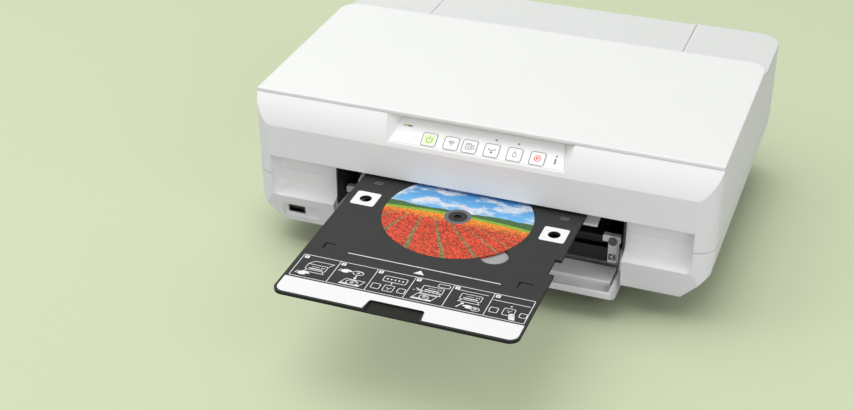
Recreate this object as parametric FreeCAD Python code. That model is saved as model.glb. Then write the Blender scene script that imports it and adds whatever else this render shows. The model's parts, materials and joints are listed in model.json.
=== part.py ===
import FreeCAD, Part
import math
import os

# Disc label printer: a desktop inkjet with two paper cassettes and a tray that carries an optical disc.
# Millimetres, +Z up, +Y to the back. The origin is the centre of the bounding box, on the floor.

# ---------------------------------------------------------------- driving dimensions
body_width = 390.0
body_depth = 338.0
body_height = 141.0
tray_reach = 174.8          # how far the disc tray stands out in front of the body
wall = 2.5                  # housing wall
slip = 0.3                  # gap between faces that move past each other
fit = 0.05                  # radial clearance of a shaft in its bore

body_front_y = tray_reach - (body_depth + tray_reach) / 2
body_back_y = body_front_y + body_depth
half_width = body_width / 2

# Housing
case_depth = 281.0
corner_radius = 17.0
back_corner_radius = 20.0
base_z = 5.0                # underside of the base, on top of the feet
base_inset = 37.0           # from the flank to the base below it
base_taper = 8.0
base_back_inset = 9.4        # from the case's back to the base's
base_setback = 51.6
block_lean = 4.0            # how far the front face leans back at its foot
foot_inset = 23.0           # how far the flanks run in below the knee
knee_inset = 2.0
mouth_half_width = 123.5
seam_drop = 71.8            # from the body's top to the joint of its two shells
crease_drop = 25.8
knee_drop = 22.2            # from the shells' joint to the knee of the flanks
block_height = 45.0         # from the foot of the front blocks to the shells' joint
mouth_head_room = 3.0       # from the disc tray to the top of the mouth
front_bulge = 1.5
visor_depth = 16.0

# Pockets beside the mouth
pocket_depth = 13.0
pocket_end_wall = 16.0
pocket_radius = 11.0
pocket_floor_radius = 5.0

ledge_back_drop = 14.0
ledge_fall = 6.0

# Lid
lid_setback = 14.0
lid_depth = 188.0
lid_thickness = 3.0
lid_corner_radius = 15.0
lid_frame_height = 4.0
lid_hinge_radius = 2.5
lid_hinge_drop = 7.0
lid_hinge_inset = 4.4
lid_channel_front = 10.1
lid_lug_inset = 25.0
lid_lug_width = 6.0
hatch_inset = 27.0
hatch_front = 22.6          # from the lid's front edge to the hatch
hatch_back = 20.4           # from the lid's back edge to the hatch
deck_drop = 8.0             # the rear deck lies this far below the lid's top

# Control panel
panel_rise_deg = 32.0
panel_lift = 3.0            # from the crease to the panel's foot
panel_length = 27.0
panel_half_width = 74.4
panel_top_half_width = 69.5
panel_plate = 0.8
panel_film_start = 2.6
panel_seat_gap = 0.2
panel_draft = 0.76
button_width = 12.6
button_length = 12.3
button_gap = 0.25
button_height = 2.4
button_proud = 0.25
button_corner_radius = 2.0
button_up_slope = 9.4
button_x = {"power": -40.2, "radio": -21.6, "setup": -6.2, "feed": 12.2, "ink": 31.2, "stop": 50.0}
dot_radius = 0.8
lamp_places = ((13.6, 19.3), (32.2, 19.3), (64.6, 14.2), (64.3, 9.6))

# Rear paper feed
feed_cover_half_width = 118.0
feed_cover_axis_inset = 8.0
feed_cover_axis_drop = 5.0
feed_cover_skirt = 11.0
feed_cover_pin = 2.0
feed_cover_lug_x = 106.0
feed_cover_lug_width = 6.0
chute_half_width = 112.0
chute_low_drop = 43.0
chute_high_drop = 21.0
chute_side_height = 10.0
chute_back_inset = 30.4
rear_path_half_width = 115.0
rear_unit_rise = 5.2        # above the foot of the feed chute
rear_unit_radius = 18.0

# Front cover, shown open
cover_axis_lift = 9.5       # hinge axis above the lower cassette's floor
cover_axis_setback = 31.0
cover_drop = 3.4            # outer skin below the middle of the base and the blocks
liner_clearance = 1.5
cover_front_reach = 46.0
cover_back_reach = 14.0
cover_half_width = 120.5
cover_wall_height = 15.5
cover_skin = 3.0
cover_lip_height = 5.7
cover_lip_thickness = 2.6
cover_chamfer = 16.0
cover_pin_radius = 2.5
liner_half_width = 116.0

# Disc tray
tray_center_x = -1.0
tray_half_width = 94.0
tray_length = 241.8
tray_thickness = 2.4
tray_rise = 14.0            # from the shells' joint to the disc tray's top
tray_corner_radius = 8.0
disc_radius = 60.0
disc_hole_radius = 7.5
disc_thickness = 1.2
disc_from_front = 141.8
disc_recess_gap = 0.3

# Paper path
roller_radius = 5.0
roller_shaft_radius = 3.0
roller_half_length = 104.0
feed_axis_y = 38.0
gear_module = 1.0
feed_teeth = 34
idler_teeth = 22
exit_teeth = 30
pinion_teeth = 12
pinion_angle_deg = -50.0
gear_width = 5.0
gear_backlash = 0.28
pinch_radius = 2.6
star_radius = 4.0
lifted = 0.4                # pinch rollers and star wheels stand this far off the disc tray
pinch_places = (-88.0, -53.0, -18.0, 18.0, 53.0, 88.0)
star_places = (-90.0, -54.0, -18.0, 18.0, 54.0, 90.0)

# Frame and carriage
frame_inset = 29.0
frame_sheet = 2.0
frame_drop = 16.0
frame_front_y = -27.2
frame_back_y = 70.0
back_plate_y = 60.0
shaft_radius = 4.0
shaft_rise = 16.8           # the next five are heights above the disc tray
pulley_rise = 32.8
carriage_floor_rise = 6.8
carriage_top_rise = 34.8
cartridge_top_rise = 42.8
shaft_y = 50.0
pulley_inset = 16.0
pulley_radius = 5.0
belt_thickness = 1.0
belt_width = 5.0
belt_y = 49.0
carriage_park = 19.0        # from the disc tray's edge to the parked carriage's middle
carriage_side_room = 9.0
carriage_front_y = -10.0
carriage_back_y = 46.0
head_half_width = 14.0
head_gap = 1.8
cartridge_gap = 1.2
cartridge_count = 6

# Cassettes and output tray
cassette_front_y = -52.6
cassette_lift = 3.5         # from the foot of the front blocks to the lower cassette
a4_height = 12.5
a4_half_width = 107.0
a4_length = 299.6
photo_height = 7.5
photo_half_width = 106.5
photo_paper_half_width = 51.0
photo_length = 158.0
cassette_gap = 0.5
cassette_wall = 1.2
output_half_width = 102.0
output_length = 150.0
output_thickness = 2.5
trim_thickness = 1.2
trim_rise = 8.8             # above the front cover's axis
arm_half_x = 117.7
left_arm_x = 121.3

# Electrics
usb_half_width = 7.2
usb_half_height = 3.1
usb_gap = 0.6
usb_drop = 0.5
usb_panel_below = 6.7
usb_panel_above = 5.0
usb_seat = 1.4
inlet_half_width = 11.0
inlet_height = 14.0
inlet_drop = 7.2            # from the shells' joint to the inlet's top
supply_x = 113.0
supply_inset = 21.0
supply_top_z = 58.0
board_gap = 4.5
motor_radius = 13.5

# ---------------------------------------------------------------- derived places
seam_z = body_height - seam_drop
crease_z = body_height - crease_drop
panel_start_z = crease_z + panel_lift
knee_z = seam_z - knee_drop
block_bottom_z = seam_z - block_height
ledge_back_z = seam_z - ledge_back_drop
ledge_front_z = ledge_back_z - ledge_fall
tray_top_z = seam_z + tray_rise
mouth_top_z = tray_top_z + mouth_head_room
frame_top_z = body_height - frame_drop
shaft_z = tray_top_z + shaft_rise
pulley_z = tray_top_z + pulley_rise
carriage_floor_z = tray_top_z + carriage_floor_rise
carriage_top_z = tray_top_z + carriage_top_rise
cartridge_top_z = tray_top_z + cartridge_top_rise
cassette_bottom_z = block_bottom_z + cassette_lift
cover_bottom_z = (base_z + block_bottom_z) / 2 - cover_drop
liner_height = cassette_bottom_z - cover_bottom_z - cover_skin - liner_clearance
usb_z = (block_bottom_z + ledge_front_z) / 2 - usb_drop
base_half_width = half_width - base_inset
pocket_end_x = half_width - pocket_end_wall
lid_lug_x = half_width - lid_lug_inset
hatch_half_width = half_width - hatch_inset
frame_half_width = half_width - frame_inset
pulley_x = frame_half_width - pulley_inset
carriage_home_x = tray_center_x + tray_half_width + carriage_park
carriage_half_width = frame_half_width - carriage_home_x - carriage_side_room
cartridge_pitch = (carriage_half_width - 4.2) / cartridge_count * 2
cartridge_width = cartridge_pitch - cartridge_gap
rear_half_width = cover_half_width + 7.5
usb_x = -(mouth_half_width + half_width) / 2
inlet_high_z = seam_z - inlet_drop
inlet_low_z = inlet_high_z - inlet_height
inlet_x = (rear_half_width + half_width - back_corner_radius) / 2
supply_end_x = frame_half_width - supply_inset
board_x = -half_width + wall + board_gap
board_low_z = seam_z + 3.8
case_back_y = body_front_y + case_depth
lid_front_y = body_front_y + lid_setback
lid_back_y = lid_front_y + lid_depth
lid_bottom_z = body_height - lid_thickness
case_top_z = lid_bottom_z - slip
deck_z = body_height - deck_drop
chute_low_z = deck_z - chute_low_drop
chute_high_z = deck_z - chute_high_drop
rear_unit_top_z = chute_low_z + rear_unit_rise
lid_axis_y = lid_back_y - lid_hinge_inset
lid_axis_z = lid_bottom_z - lid_hinge_drop
board_high_z = lid_axis_z - 11.0
pocket_back_y = body_front_y + pocket_depth
base_front_y = body_front_y + base_setback
base_depth = case_depth - base_setback - base_back_inset
cover_axis_y = body_front_y + cover_axis_setback
cover_axis_z = cassette_bottom_z + cover_axis_lift
tray_front_y = body_front_y - tray_reach
tray_back_y = tray_front_y + tray_length
tray_bottom_z = tray_top_z - tray_thickness
disc_y = tray_front_y + disc_from_front
roller_z = tray_bottom_z - 0.15 - roller_radius
idler_axis_y = feed_axis_y - gear_module * (feed_teeth + idler_teeth) / 2
exit_axis_y = idler_axis_y - gear_module * (idler_teeth + exit_teeth) / 2
pinion_distance = gear_module * (feed_teeth + pinion_teeth) / 2
pinion_y = feed_axis_y + pinion_distance * math.cos(math.radians(pinion_angle_deg))
pinion_z = roller_z + pinion_distance * math.sin(math.radians(pinion_angle_deg))
gear_x = -frame_half_width - frame_sheet - 3.0 - gear_width
photo_bottom_z = cassette_bottom_z + a4_height + cassette_gap
output_bottom_z = photo_bottom_z + photo_height + cassette_gap
head_bottom_z = tray_top_z + head_gap
pinch_z = tray_top_z + lifted + pinch_radius
star_z = tray_top_z + lifted + star_radius
cap_x0 = carriage_home_x - head_half_width
cap_x1 = carriage_home_x + head_half_width
cap_low_z = head_bottom_z - 21.0
feed_cover_axis_y = case_back_y - feed_cover_axis_inset
feed_cover_axis_z = deck_z - feed_cover_axis_drop
feed_cover_front_y = lid_axis_y + 15.0
guide_web_front_y = frame_front_y - 22.8
guide_web_back_y = frame_front_y - 6.8
guide_web_low_z = tray_bottom_z - 3.2
trim_low_z = cover_axis_z + trim_rise
lip_low_z = cover_bottom_z + cover_wall_height - cover_lip_height
cover_front_y = cover_axis_y - cover_front_reach
cover_inner_y = cover_front_y + cover_chamfer + 1.1


# ---------------------------------------------------------------- helpers
def vec(x, y, z):
    return FreeCAD.Vector(x, y, z)


def box(x0, x1, y0, y1, z0, z1):
    return Part.makeBox(x1 - x0, y1 - y0, z1 - z0, vec(x0, y0, z0))


def cyl_x(y, z, radius, x0, x1):
    return Part.makeCylinder(radius, x1 - x0, vec(x0, y, z), vec(1, 0, 0))


def cyl_y(x, z, radius, y0, y1):
    return Part.makeCylinder(radius, y1 - y0, vec(x, y0, z), vec(0, 1, 0))


def cyl_z(x, y, radius, z0, z1):
    return Part.makeCylinder(radius, z1 - z0, vec(x, y, z0), vec(0, 0, 1))


def polygon(points):
    return Part.makePolygon(points + [points[0]])


def prism_x(points, x0, x1):
    face = Part.Face(polygon([vec(x0, y, z) for y, z in points]))
    return face.extrude(vec(x1 - x0, 0, 0))


def prism_y(points, y0, y1):
    face = Part.Face(polygon([vec(x, y0, z) for x, z in points]))
    return face.extrude(vec(0, y1 - y0, 0))


def rounded_block(x0, x1, y0, y1, z0, z1, front_radius, back_radius):
    """A block whose four upright edges are rounded."""
    block = box(x0, x1, y0, y1, z0, z1)
    for radius, y in ((front_radius, y0), (back_radius, y1)):
        if radius > 0:
            edges = [e for e in block.Edges if is_upright(e) and abs(e.Vertexes[0].Y - y) < 1e-6]
            block = block.makeFillet(radius, edges)
    return block


def is_upright(edge):
    a, b = edge.Vertexes[0].Point, edge.Vertexes[-1].Point
    return abs(a.x - b.x) < 1e-6 and abs(a.y - b.y) < 1e-6


def fuse(shapes):
    body = shapes[0].multiFuse(shapes[1:]) if len(shapes) > 1 else shapes[0]
    return body.removeSplitter()


def cut(body, tools):
    return body.cut(tools).removeSplitter()


def mirrored(shape):
    return shape.mirror(vec(0, 0, 0), vec(1, 0, 0))


def both_sides(shape):
    return [shape, mirrored(shape)]


def save(name, shape):
    shape.exportStep("parts/" + name + ".step")


# ---------------------------------------------------------------- housing forms
def side_profile(inset):
    """Side view of the housing: leaning foot, upright band, convex front, lid seat and rear deck."""
    front = body_front_y + inset
    top = case_top_z - inset
    crease = vec(0, front, crease_z)
    brow = vec(0, lid_front_y + inset, top)
    chord = brow - crease
    normal = vec(0, -chord.z, chord.y).normalize()
    middle = crease + chord * 0.5 + normal * front_bulge
    back = case_back_y - inset
    line = [
        vec(0, front + block_lean, block_bottom_z + inset),
        vec(0, front, ledge_front_z),
        crease,
    ]
    rest = [
        brow,
        vec(0, lid_back_y - 12.4, top),
        vec(0, lid_back_y + 1.6, deck_z - inset),
        vec(0, back, deck_z - inset),
        vec(0, back, block_bottom_z + inset),
        line[0],
    ]
    edges = [Part.LineSegment(a, b).toShape() for a, b in zip(line, line[1:])]
    edges.append(Part.Arc(crease, middle, brow).toShape())
    edges += [Part.LineSegment(a, b).toShape() for a, b in zip(rest, rest[1:])]
    return Part.Face(Part.Wire(edges))


def front_profile(inset):
    """Front view of the housing: flanks that run in below the knee."""
    foot = half_width - foot_inset - inset
    knee = half_width - knee_inset - inset
    side = half_width - inset
    low = block_bottom_z + inset
    right = [(foot, low), (knee, knee_z), (side, seam_z), (side, body_height)]
    return right + [(-x, z) for x, z in reversed(right)]


def case_form(inset):
    plan = rounded_block(
        -half_width + inset, half_width - inset, body_front_y + inset, case_back_y - inset,
        block_bottom_z, body_height, corner_radius - inset, back_corner_radius - inset)
    side = side_profile(inset)
    side.translate(vec(-half_width, 0, 0))
    side = side.extrude(vec(body_width, 0, 0))
    front = prism_y(front_profile(inset), body_front_y - 1, case_back_y + 1)
    return plan.common(side).common(front)


def base_form(inset):
    foot = base_half_width - base_taper - inset
    top = base_half_width - inset
    points = [(-foot, base_z + inset), (foot, base_z + inset), (top, block_bottom_z + wall),
              (top, knee_z), (-top, knee_z), (-top, block_bottom_z + wall)]
    return prism_y(points, base_front_y + inset, base_front_y + base_depth - inset)


def pocket(grow):
    """The space of the right pocket: upright back face, rounded end and a ledge that slopes forward."""
    front = body_front_y - 10.0
    back = pocket_back_y + grow
    end = pocket_end_x + grow
    plan = box(mouth_half_width - 10.0, end, front, back, block_bottom_z, mouth_top_z + grow)
    edge = [e for e in plan.Edges if is_upright(e)
            and abs(e.Vertexes[0].X - end) < 1e-6 and abs(e.Vertexes[0].Y - back) < 1e-6]
    plan = plan.makeFillet(pocket_radius + grow, edge)
    slope = (ledge_back_z - ledge_front_z) / pocket_depth
    low_front = ledge_front_z - slope * 10.0 - grow
    low_back = ledge_back_z + slope * grow - grow
    above = prism_x([(front, low_front), (back, low_back), (back, body_height), (front, body_height)],
                    0, half_width)
    space = plan.common(above)
    low = [e for e in space.Edges if e.CenterOfMass.z < ledge_back_z + 1 and e.CenterOfMass.y > front + 11
           and e.CenterOfMass.x > mouth_half_width and not is_upright(e)]
    return space.makeFillet(pocket_floor_radius + grow, low)


def mouth_cheek(z0, z1):
    """Wall between the mouth and the hollow block to its right."""
    return box(mouth_half_width, mouth_half_width + wall, body_front_y + block_lean + wall,
               base_front_y + wall, z0, z1)


# ---------------------------------------------------------------- control panel plane
def panel_point(x, along, above):
    rise = math.radians(panel_rise_deg)
    y = body_front_y + 0.5 + along * math.cos(rise) - above * math.sin(rise)
    z = panel_start_z + along * math.sin(rise) + above * math.cos(rise)
    return vec(x, y, z)


def panel_outline(above, grow):
    low = panel_half_width + grow
    high = panel_top_half_width + grow
    return polygon([panel_point(-low, -grow, above), panel_point(low, -grow, above),
                    panel_point(high, panel_length + grow, above),
                    panel_point(-high, panel_length + grow, above)])


def panel_recess(depth, grow):
    """Recess over the control panel; its side walls flare as they rise."""
    height = 22.0
    return Part.makeLoft([panel_outline(-depth, grow), panel_outline(height, grow + panel_draft * height)],
                         True, True)


def panel_film(above0, above1, grow):
    """The film plate's form, which narrows up the slope as the recess does."""
    low = panel_half_width - 1.5 + grow
    high = panel_top_half_width - 0.9 + grow
    start = panel_film_start - grow
    end = panel_length - 1.2 + grow
    face = Part.Face(polygon([panel_point(-low, start, above0), panel_point(low, start, above0),
                              panel_point(high, end, above0), panel_point(-high, end, above0)]))
    return face.extrude(panel_point(0, 0, above1) - panel_point(0, 0, above0))


def panel_block(x0, x1, along0, along1, above0, above1):
    face = Part.Face(polygon([panel_point(x0, along0, above0), panel_point(x1, along0, above0),
                              panel_point(x1, along1, above0), panel_point(x0, along1, above0)]))
    return face.extrude(panel_point(0, 0, above1) - panel_point(0, 0, above0))


def panel_pin(x, along, radius, above0, above1):
    foot = panel_point(x, along, above0)
    up = panel_point(x, along, above1) - foot
    return Part.makeCylinder(radius, up.Length, foot, up)


def button_cap(x, gap, above0, above1):
    w = button_width / 2 + gap
    h = button_length / 2 + gap
    cap = panel_block(x - w, x + w, button_up_slope - h, button_up_slope + h, above0, above1)
    up = panel_point(0, 0, 1) - panel_point(0, 0, 0)
    edges = []
    for edge in cap.Edges:
        way = (edge.Vertexes[-1].Point - edge.Vertexes[0].Point).normalize()
        if abs(abs(way * up) - 1) < 1e-6:
            edges.append(edge)
    return cap.makeFillet(button_corner_radius + gap, edges)


# ---------------------------------------------------------------- gears
def gear_profile(teeth, phase_deg):
    """Involute tooth outline in the YZ plane, thinned by the backlash."""
    pitch = gear_module * teeth / 2
    base = pitch * math.cos(math.radians(20))
    tip = pitch + 0.95 * gear_module
    root = pitch - 1.2 * gear_module
    half = math.pi / (2 * teeth) - gear_backlash / (2 * pitch)
    inv_pitch = math.tan(math.radians(20)) - math.radians(20)
    start = max(base, root + 0.1)
    flank = []
    for step in range(4):
        r = start + (tip - start) * step / 3
        a = math.acos(min(1.0, base / r))
        flank.append((r, half + inv_pitch - (math.tan(a) - a)))
    points = []
    for tooth in range(teeth):
        mid = math.radians(phase_deg) + 2 * math.pi * tooth / teeth
        outline = [(root, -flank[0][1])] + [(r, -a) for r, a in flank]
        outline += [(r, a) for r, a in reversed(flank)] + [(root, flank[0][1])]
        points += [(r * math.cos(mid + a), r * math.sin(mid + a)) for r, a in outline]
    return points


def gear(teeth, y, z, bore, phase_deg, x0):
    outline = [(y + u, z + v) for u, v in gear_profile(teeth, phase_deg)]
    solid = prism_x(outline, x0, x0 + gear_width)
    if bore > 0:
        solid = solid.cut(cyl_x(y, z, bore, x0 - 1, x0 + gear_width + 1))
    return solid


# ---------------------------------------------------------------- housing pieces
def make_lower_case():
    z_top = seam_z
    above = box(-half_width - 1, half_width + 1, body_front_y - 1, body_back_y + 1, z_top, body_height + 1)
    shell_back = body_back_y - 4.4
    housing_half = rear_half_width
    housing_top = cassette_bottom_z + a4_height + 2.0 + wall
    housing = box(-housing_half, housing_half, case_back_y - 10, shell_back, block_bottom_z, housing_top)
    outer = fuse([case_form(0).cut(above), base_form(0), housing])
    outer = outer.cut([pocket(0), mirrored(pocket(0))])
    cheek = mouth_cheek(0, z_top)
    sill_top = cassette_bottom_z - 2.7
    sill = box(-mouth_half_width - wall, mouth_half_width + wall, base_front_y, base_front_y + wall, 0, sill_top)
    inside = fuse([case_form(wall), base_form(wall),
                   box(-housing_half + wall, housing_half - wall, case_back_y - 20, shell_back - wall,
                       block_bottom_z + wall, housing_top - wall)])
    inside = inside.cut([pocket(wall), mirrored(pocket(wall))] + both_sides(cheek) + [sill])
    body = outer.cut(inside)
    mouth = box(-mouth_half_width, mouth_half_width, body_front_y - 1, base_front_y, 0, body_height)
    body = body.cut(mouth)
    rail = box(95.0, 100.0, base_front_y + wall, base_front_y + base_depth - wall - 1,
               base_z + wall, cassette_bottom_z - slip)
    pin_hole = cyl_x(cover_axis_y, cover_axis_z, cover_pin_radius + 0.1,
                     mouth_half_width - 1, mouth_half_width + wall + 4)
    boss = cyl_x(cover_axis_y, cover_axis_z, 6.0, mouth_half_width + wall, mouth_half_width + wall + 3)
    body = fuse([body] + both_sides(rail) + both_sides(boss))
    body = body.cut(both_sides(pin_hole))
    body = body.cut([usb_block(usb_gap, 12.0), usb_panel(), inlet_block(0.2)])
    return body.removeSplitter()


def usb_block(grow, depth):
    across = usb_half_width + grow
    up = usb_half_height + grow
    return box(usb_x - across, usb_x + across, body_front_y - 1, body_front_y + depth, usb_z - up, usb_z + up)


def usb_panel():
    """Shallow seat round the socket in the left block's leaning front face."""
    low = usb_z - usb_panel_below
    high = usb_z + usb_panel_above
    lean = block_lean / (ledge_front_z - block_bottom_z)
    y_low = body_front_y + lean * (ledge_front_z - low)
    y_high = body_front_y + lean * (ledge_front_z - high)
    points = [(y_low - 5, low), (y_low + usb_seat, low), (y_high + usb_seat, high), (y_high - 5, high)]
    return prism_x(points, usb_x - 12.0, usb_x + 22.0)


def inlet_block(grow):
    across = inlet_half_width + grow
    return box(inlet_x - across, inlet_x + across, case_back_y - wall - 1, case_back_y + 1,
               inlet_low_z - grow, inlet_high_z + grow)


def make_upper_case():
    below = box(-half_width - 1, half_width + 1, body_front_y - 1, body_back_y + 1, 0, seam_z)
    outer = case_form(0).cut([below, pocket(0), mirrored(pocket(0))])
    channel_front = lid_axis_y - lid_channel_front
    channel_back = lid_axis_y + 11.5
    channel_floor = lid_axis_z - 5.5
    channel = box(-half_width + 4, half_width - 4, channel_front, channel_back, channel_floor, body_height)
    channel_walls = box(-half_width, half_width, channel_front - wall, channel_back + wall,
                        channel_floor - wall, body_height)
    cheek = mouth_cheek(0, mouth_top_z + wall)
    visor = box(-mouth_half_width - wall, mouth_half_width + wall, body_front_y, body_front_y + visor_depth,
                mouth_top_z, mouth_top_z + wall)
    inside = case_form(wall).cut([pocket(wall), mirrored(pocket(wall)), panel_recess(panel_plate + wall, wall),
                                  channel_walls, visor] + both_sides(cheek))
    body = outer.cut([inside, below])
    mouth = box(-mouth_half_width, mouth_half_width, body_front_y - 1, base_front_y, 0, mouth_top_z)
    hatch = rounded_block(-hatch_half_width, hatch_half_width, lid_front_y + hatch_front,
                          lid_back_y - hatch_back, case_top_z - 20, body_height, 8.0, 8.0)
    body = body.cut([mouth, hatch, channel, panel_recess(0, 0)])
    seat = panel_film(-panel_plate, 0.01, panel_seat_gap)
    window = panel_block(min(button_x.values()) - 8, max(button_x.values()) + 18, panel_film_start, 21.0,
                         -8, 0)
    body = body.cut([seat, window])
    boss = fuse([box(lid_lug_x + 7, lid_lug_x + 15, lid_axis_y - 5, lid_axis_y + 5, channel_floor, lid_axis_z),
                 cyl_x(lid_axis_y, lid_axis_z, 5.0, lid_lug_x + 7, lid_lug_x + 15)])
    boss = boss.cut(cyl_x(lid_axis_y, lid_axis_z, lid_hinge_radius + 0.1, lid_lug_x + 6, lid_lug_x + 16))
    body = fuse([body] + both_sides(boss))
    body = body.cut([feed_cover_opening(), rear_path_opening()])
    body = fuse([body] + feed_cover_bearings() + board_posts())
    return body


def feed_cover_opening():
    """Opening in the deck and the back wall's top, so the cover's back skirt can swing down."""
    return box(-feed_cover_half_width - 0.5, feed_cover_half_width + 0.5, feed_cover_front_y - 0.5,
               case_back_y + 1, feed_cover_axis_z - 9.0, deck_z + 1)


def feed_cover_bearings():
    web = box(feed_cover_half_width + 0.5, feed_cover_half_width + 6, feed_cover_axis_y - 5,
              feed_cover_axis_y + 5, feed_cover_axis_z - 5, deck_z - wall)
    web = web.cut(cyl_x(feed_cover_axis_y, feed_cover_axis_z, feed_cover_pin + 0.1,
                        feed_cover_half_width, feed_cover_half_width + 7))
    return both_sides(web)


def rear_path_opening():
    return box(-rear_path_half_width, rear_path_half_width, case_back_y - wall - 1, case_back_y + 1,
               seam_z - 1, chute_low_z)


def board_posts():
    return [cyl_x(y, z, 3.0, -half_width + wall - 0.5, board_x)
            for y in (80.0, 175.0) for z in (board_low_z + 7, board_high_z - 6)]


def make_lid():
    plate = rounded_block(-half_width, half_width, lid_front_y, lid_back_y, lid_bottom_z, body_height,
                          1.5, lid_corner_radius)
    top_edges = [e for e in plate.Edges if all(abs(v.Z - body_height) < 1e-6 for v in e.Vertexes)]
    plate = plate.makeFillet(1.0, top_edges)
    gap = 3.0
    frame_outer = rounded_block(-hatch_half_width + gap, hatch_half_width - gap, lid_front_y + hatch_front + gap,
                                lid_back_y - hatch_back - gap, lid_bottom_z - lid_frame_height, lid_bottom_z,
                                5.0, 5.0)
    frame_inner = rounded_block(-hatch_half_width + gap + wall, hatch_half_width - gap - wall,
                                lid_front_y + hatch_front + gap + wall, lid_back_y - hatch_back - gap - wall,
                                lid_bottom_z - lid_frame_height - 1, lid_bottom_z, 3.0, 3.0)
    frame = frame_outer.cut(frame_inner)
    ribs = [box(x - 1, x + 1, lid_front_y + hatch_front + gap, lid_back_y - hatch_back - gap,
                lid_bottom_z - lid_frame_height, lid_bottom_z) for x in (-100.0, -33.0, 33.0, 100.0)]
    lug = fuse([cyl_x(lid_axis_y, lid_axis_z, 4.5, lid_lug_x, lid_lug_x + lid_lug_width),
                prism_x([(lid_axis_y - 8, lid_bottom_z), (lid_axis_y - 4.5, lid_axis_z),
                         (lid_axis_y + 4.5, lid_axis_z), (lid_axis_y + 4, lid_bottom_z)],
                        lid_lug_x, lid_lug_x + lid_lug_width)])
    pin = cyl_x(lid_axis_y, lid_axis_z, lid_hinge_radius, lid_lug_x + lid_lug_width, lid_lug_x + 14)
    return fuse([plate, frame] + ribs + both_sides(lug) + both_sides(pin))


def make_feed_cover():
    plate = box(-feed_cover_half_width, feed_cover_half_width, feed_cover_front_y, case_back_y,
                deck_z - wall, deck_z)
    skirt = box(-feed_cover_half_width, feed_cover_half_width, case_back_y - wall, case_back_y,
                deck_z - feed_cover_skirt, deck_z)
    plate = plate.fuse(skirt).removeSplitter()
    back_edge = [e for e in plate.Edges if abs(e.CenterOfMass.x) < 1e-6
                 and abs(e.CenterOfMass.y - case_back_y) < 1e-6 and abs(e.CenterOfMass.z - deck_z) < 1e-6]
    plate = plate.makeFillet(2.0, back_edge)
    lug_end = feed_cover_lug_x + feed_cover_lug_width
    lug = fuse([cyl_x(feed_cover_axis_y, feed_cover_axis_z, 3.5, feed_cover_lug_x, lug_end),
                prism_x([(feed_cover_axis_y - 7, deck_z - wall), (feed_cover_axis_y - 3.5, feed_cover_axis_z),
                         (feed_cover_axis_y + 3.5, feed_cover_axis_z), (feed_cover_axis_y + 3.5, deck_z - wall)],
                        feed_cover_lug_x, lug_end)])
    pin = cyl_x(feed_cover_axis_y, feed_cover_axis_z, feed_cover_pin, lug_end, feed_cover_half_width + 5)
    ribs = [box(x - 1, x + 1, feed_cover_front_y + 4, feed_cover_axis_y - 8, deck_z - wall - 2, deck_z - wall)
            for x in (-75.0, -25.0, 25.0, 75.0)]
    return fuse([plate] + ribs + both_sides(lug) + both_sides(pin))


def make_feed_chute():
    top_y = case_back_y - chute_back_inset
    low_y = back_plate_y + 12
    half = chute_half_width
    low, high = chute_low_z, chute_high_z
    points = [(low_y, low), (top_y, high), (top_y, high + 3), (low_y, low + 3)]
    plate = prism_x(points, -half, half)
    tall = chute_side_height
    side = prism_x([(low_y, low), (top_y, high), (top_y, high + tall), (low_y, low + tall)], half, half + 2)
    foot = box(half - 8, half + 2, top_y, case_back_y - wall, high, high + 3)
    return fuse([plate] + both_sides(side) + both_sides(foot))


def make_rear_unit():
    front = case_back_y + slip
    half = rear_half_width
    low = cassette_bottom_z + a4_height + 2.0 + wall + slip
    high = rear_unit_top_z
    outer = box(-half, half, front, body_back_y, low, high)
    back_edges = [e for e in outer.Edges if abs(e.CenterOfMass.y - body_back_y) < 1e-6
                  and abs(e.CenterOfMass.x) < 1e-6]
    outer = outer.makeFillet(rear_unit_radius, back_edges)
    inner = box(-half + wall, half - wall, front - 1, body_back_y - wall, low + wall, high - wall)
    inner_edges = [e for e in inner.Edges if abs(e.CenterOfMass.y - body_back_y + wall) < 1e-6
                   and abs(e.CenterOfMass.x) < 1e-6]
    inner = inner.makeFillet(rear_unit_radius - wall, inner_edges)
    shell = outer.cut(inner)
    mid_z = (low + high) / 2
    ribs = []
    for x in (-100.0, -60.0, -20.0, 20.0, 60.0, 100.0):
        rib = box(x - 1, x + 1, front + 2, body_back_y - wall, low + wall, high - wall)
        ribs.append(rib.cut(cyl_x(front + 2, mid_z, 20.0, x - 2, x + 2)).common(inner))
    grips = [box(-half - 1, -half + 1.2, front + 18, front + 40, mid_z - 9, mid_z + 9),
             box(half - 1.2, half + 1, front + 18, front + 40, mid_z - 9, mid_z + 9)]
    return fuse([shell] + ribs).cut(grips)


def cover_outline(back):
    """Outside of the front cover from its lip, down the chamfer and along its skin."""
    return [(cover_front_y, cover_bottom_z + cover_wall_height), (cover_front_y, lip_low_z),
            (cover_front_y + cover_chamfer, cover_bottom_z), (back, cover_bottom_z)]


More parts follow.
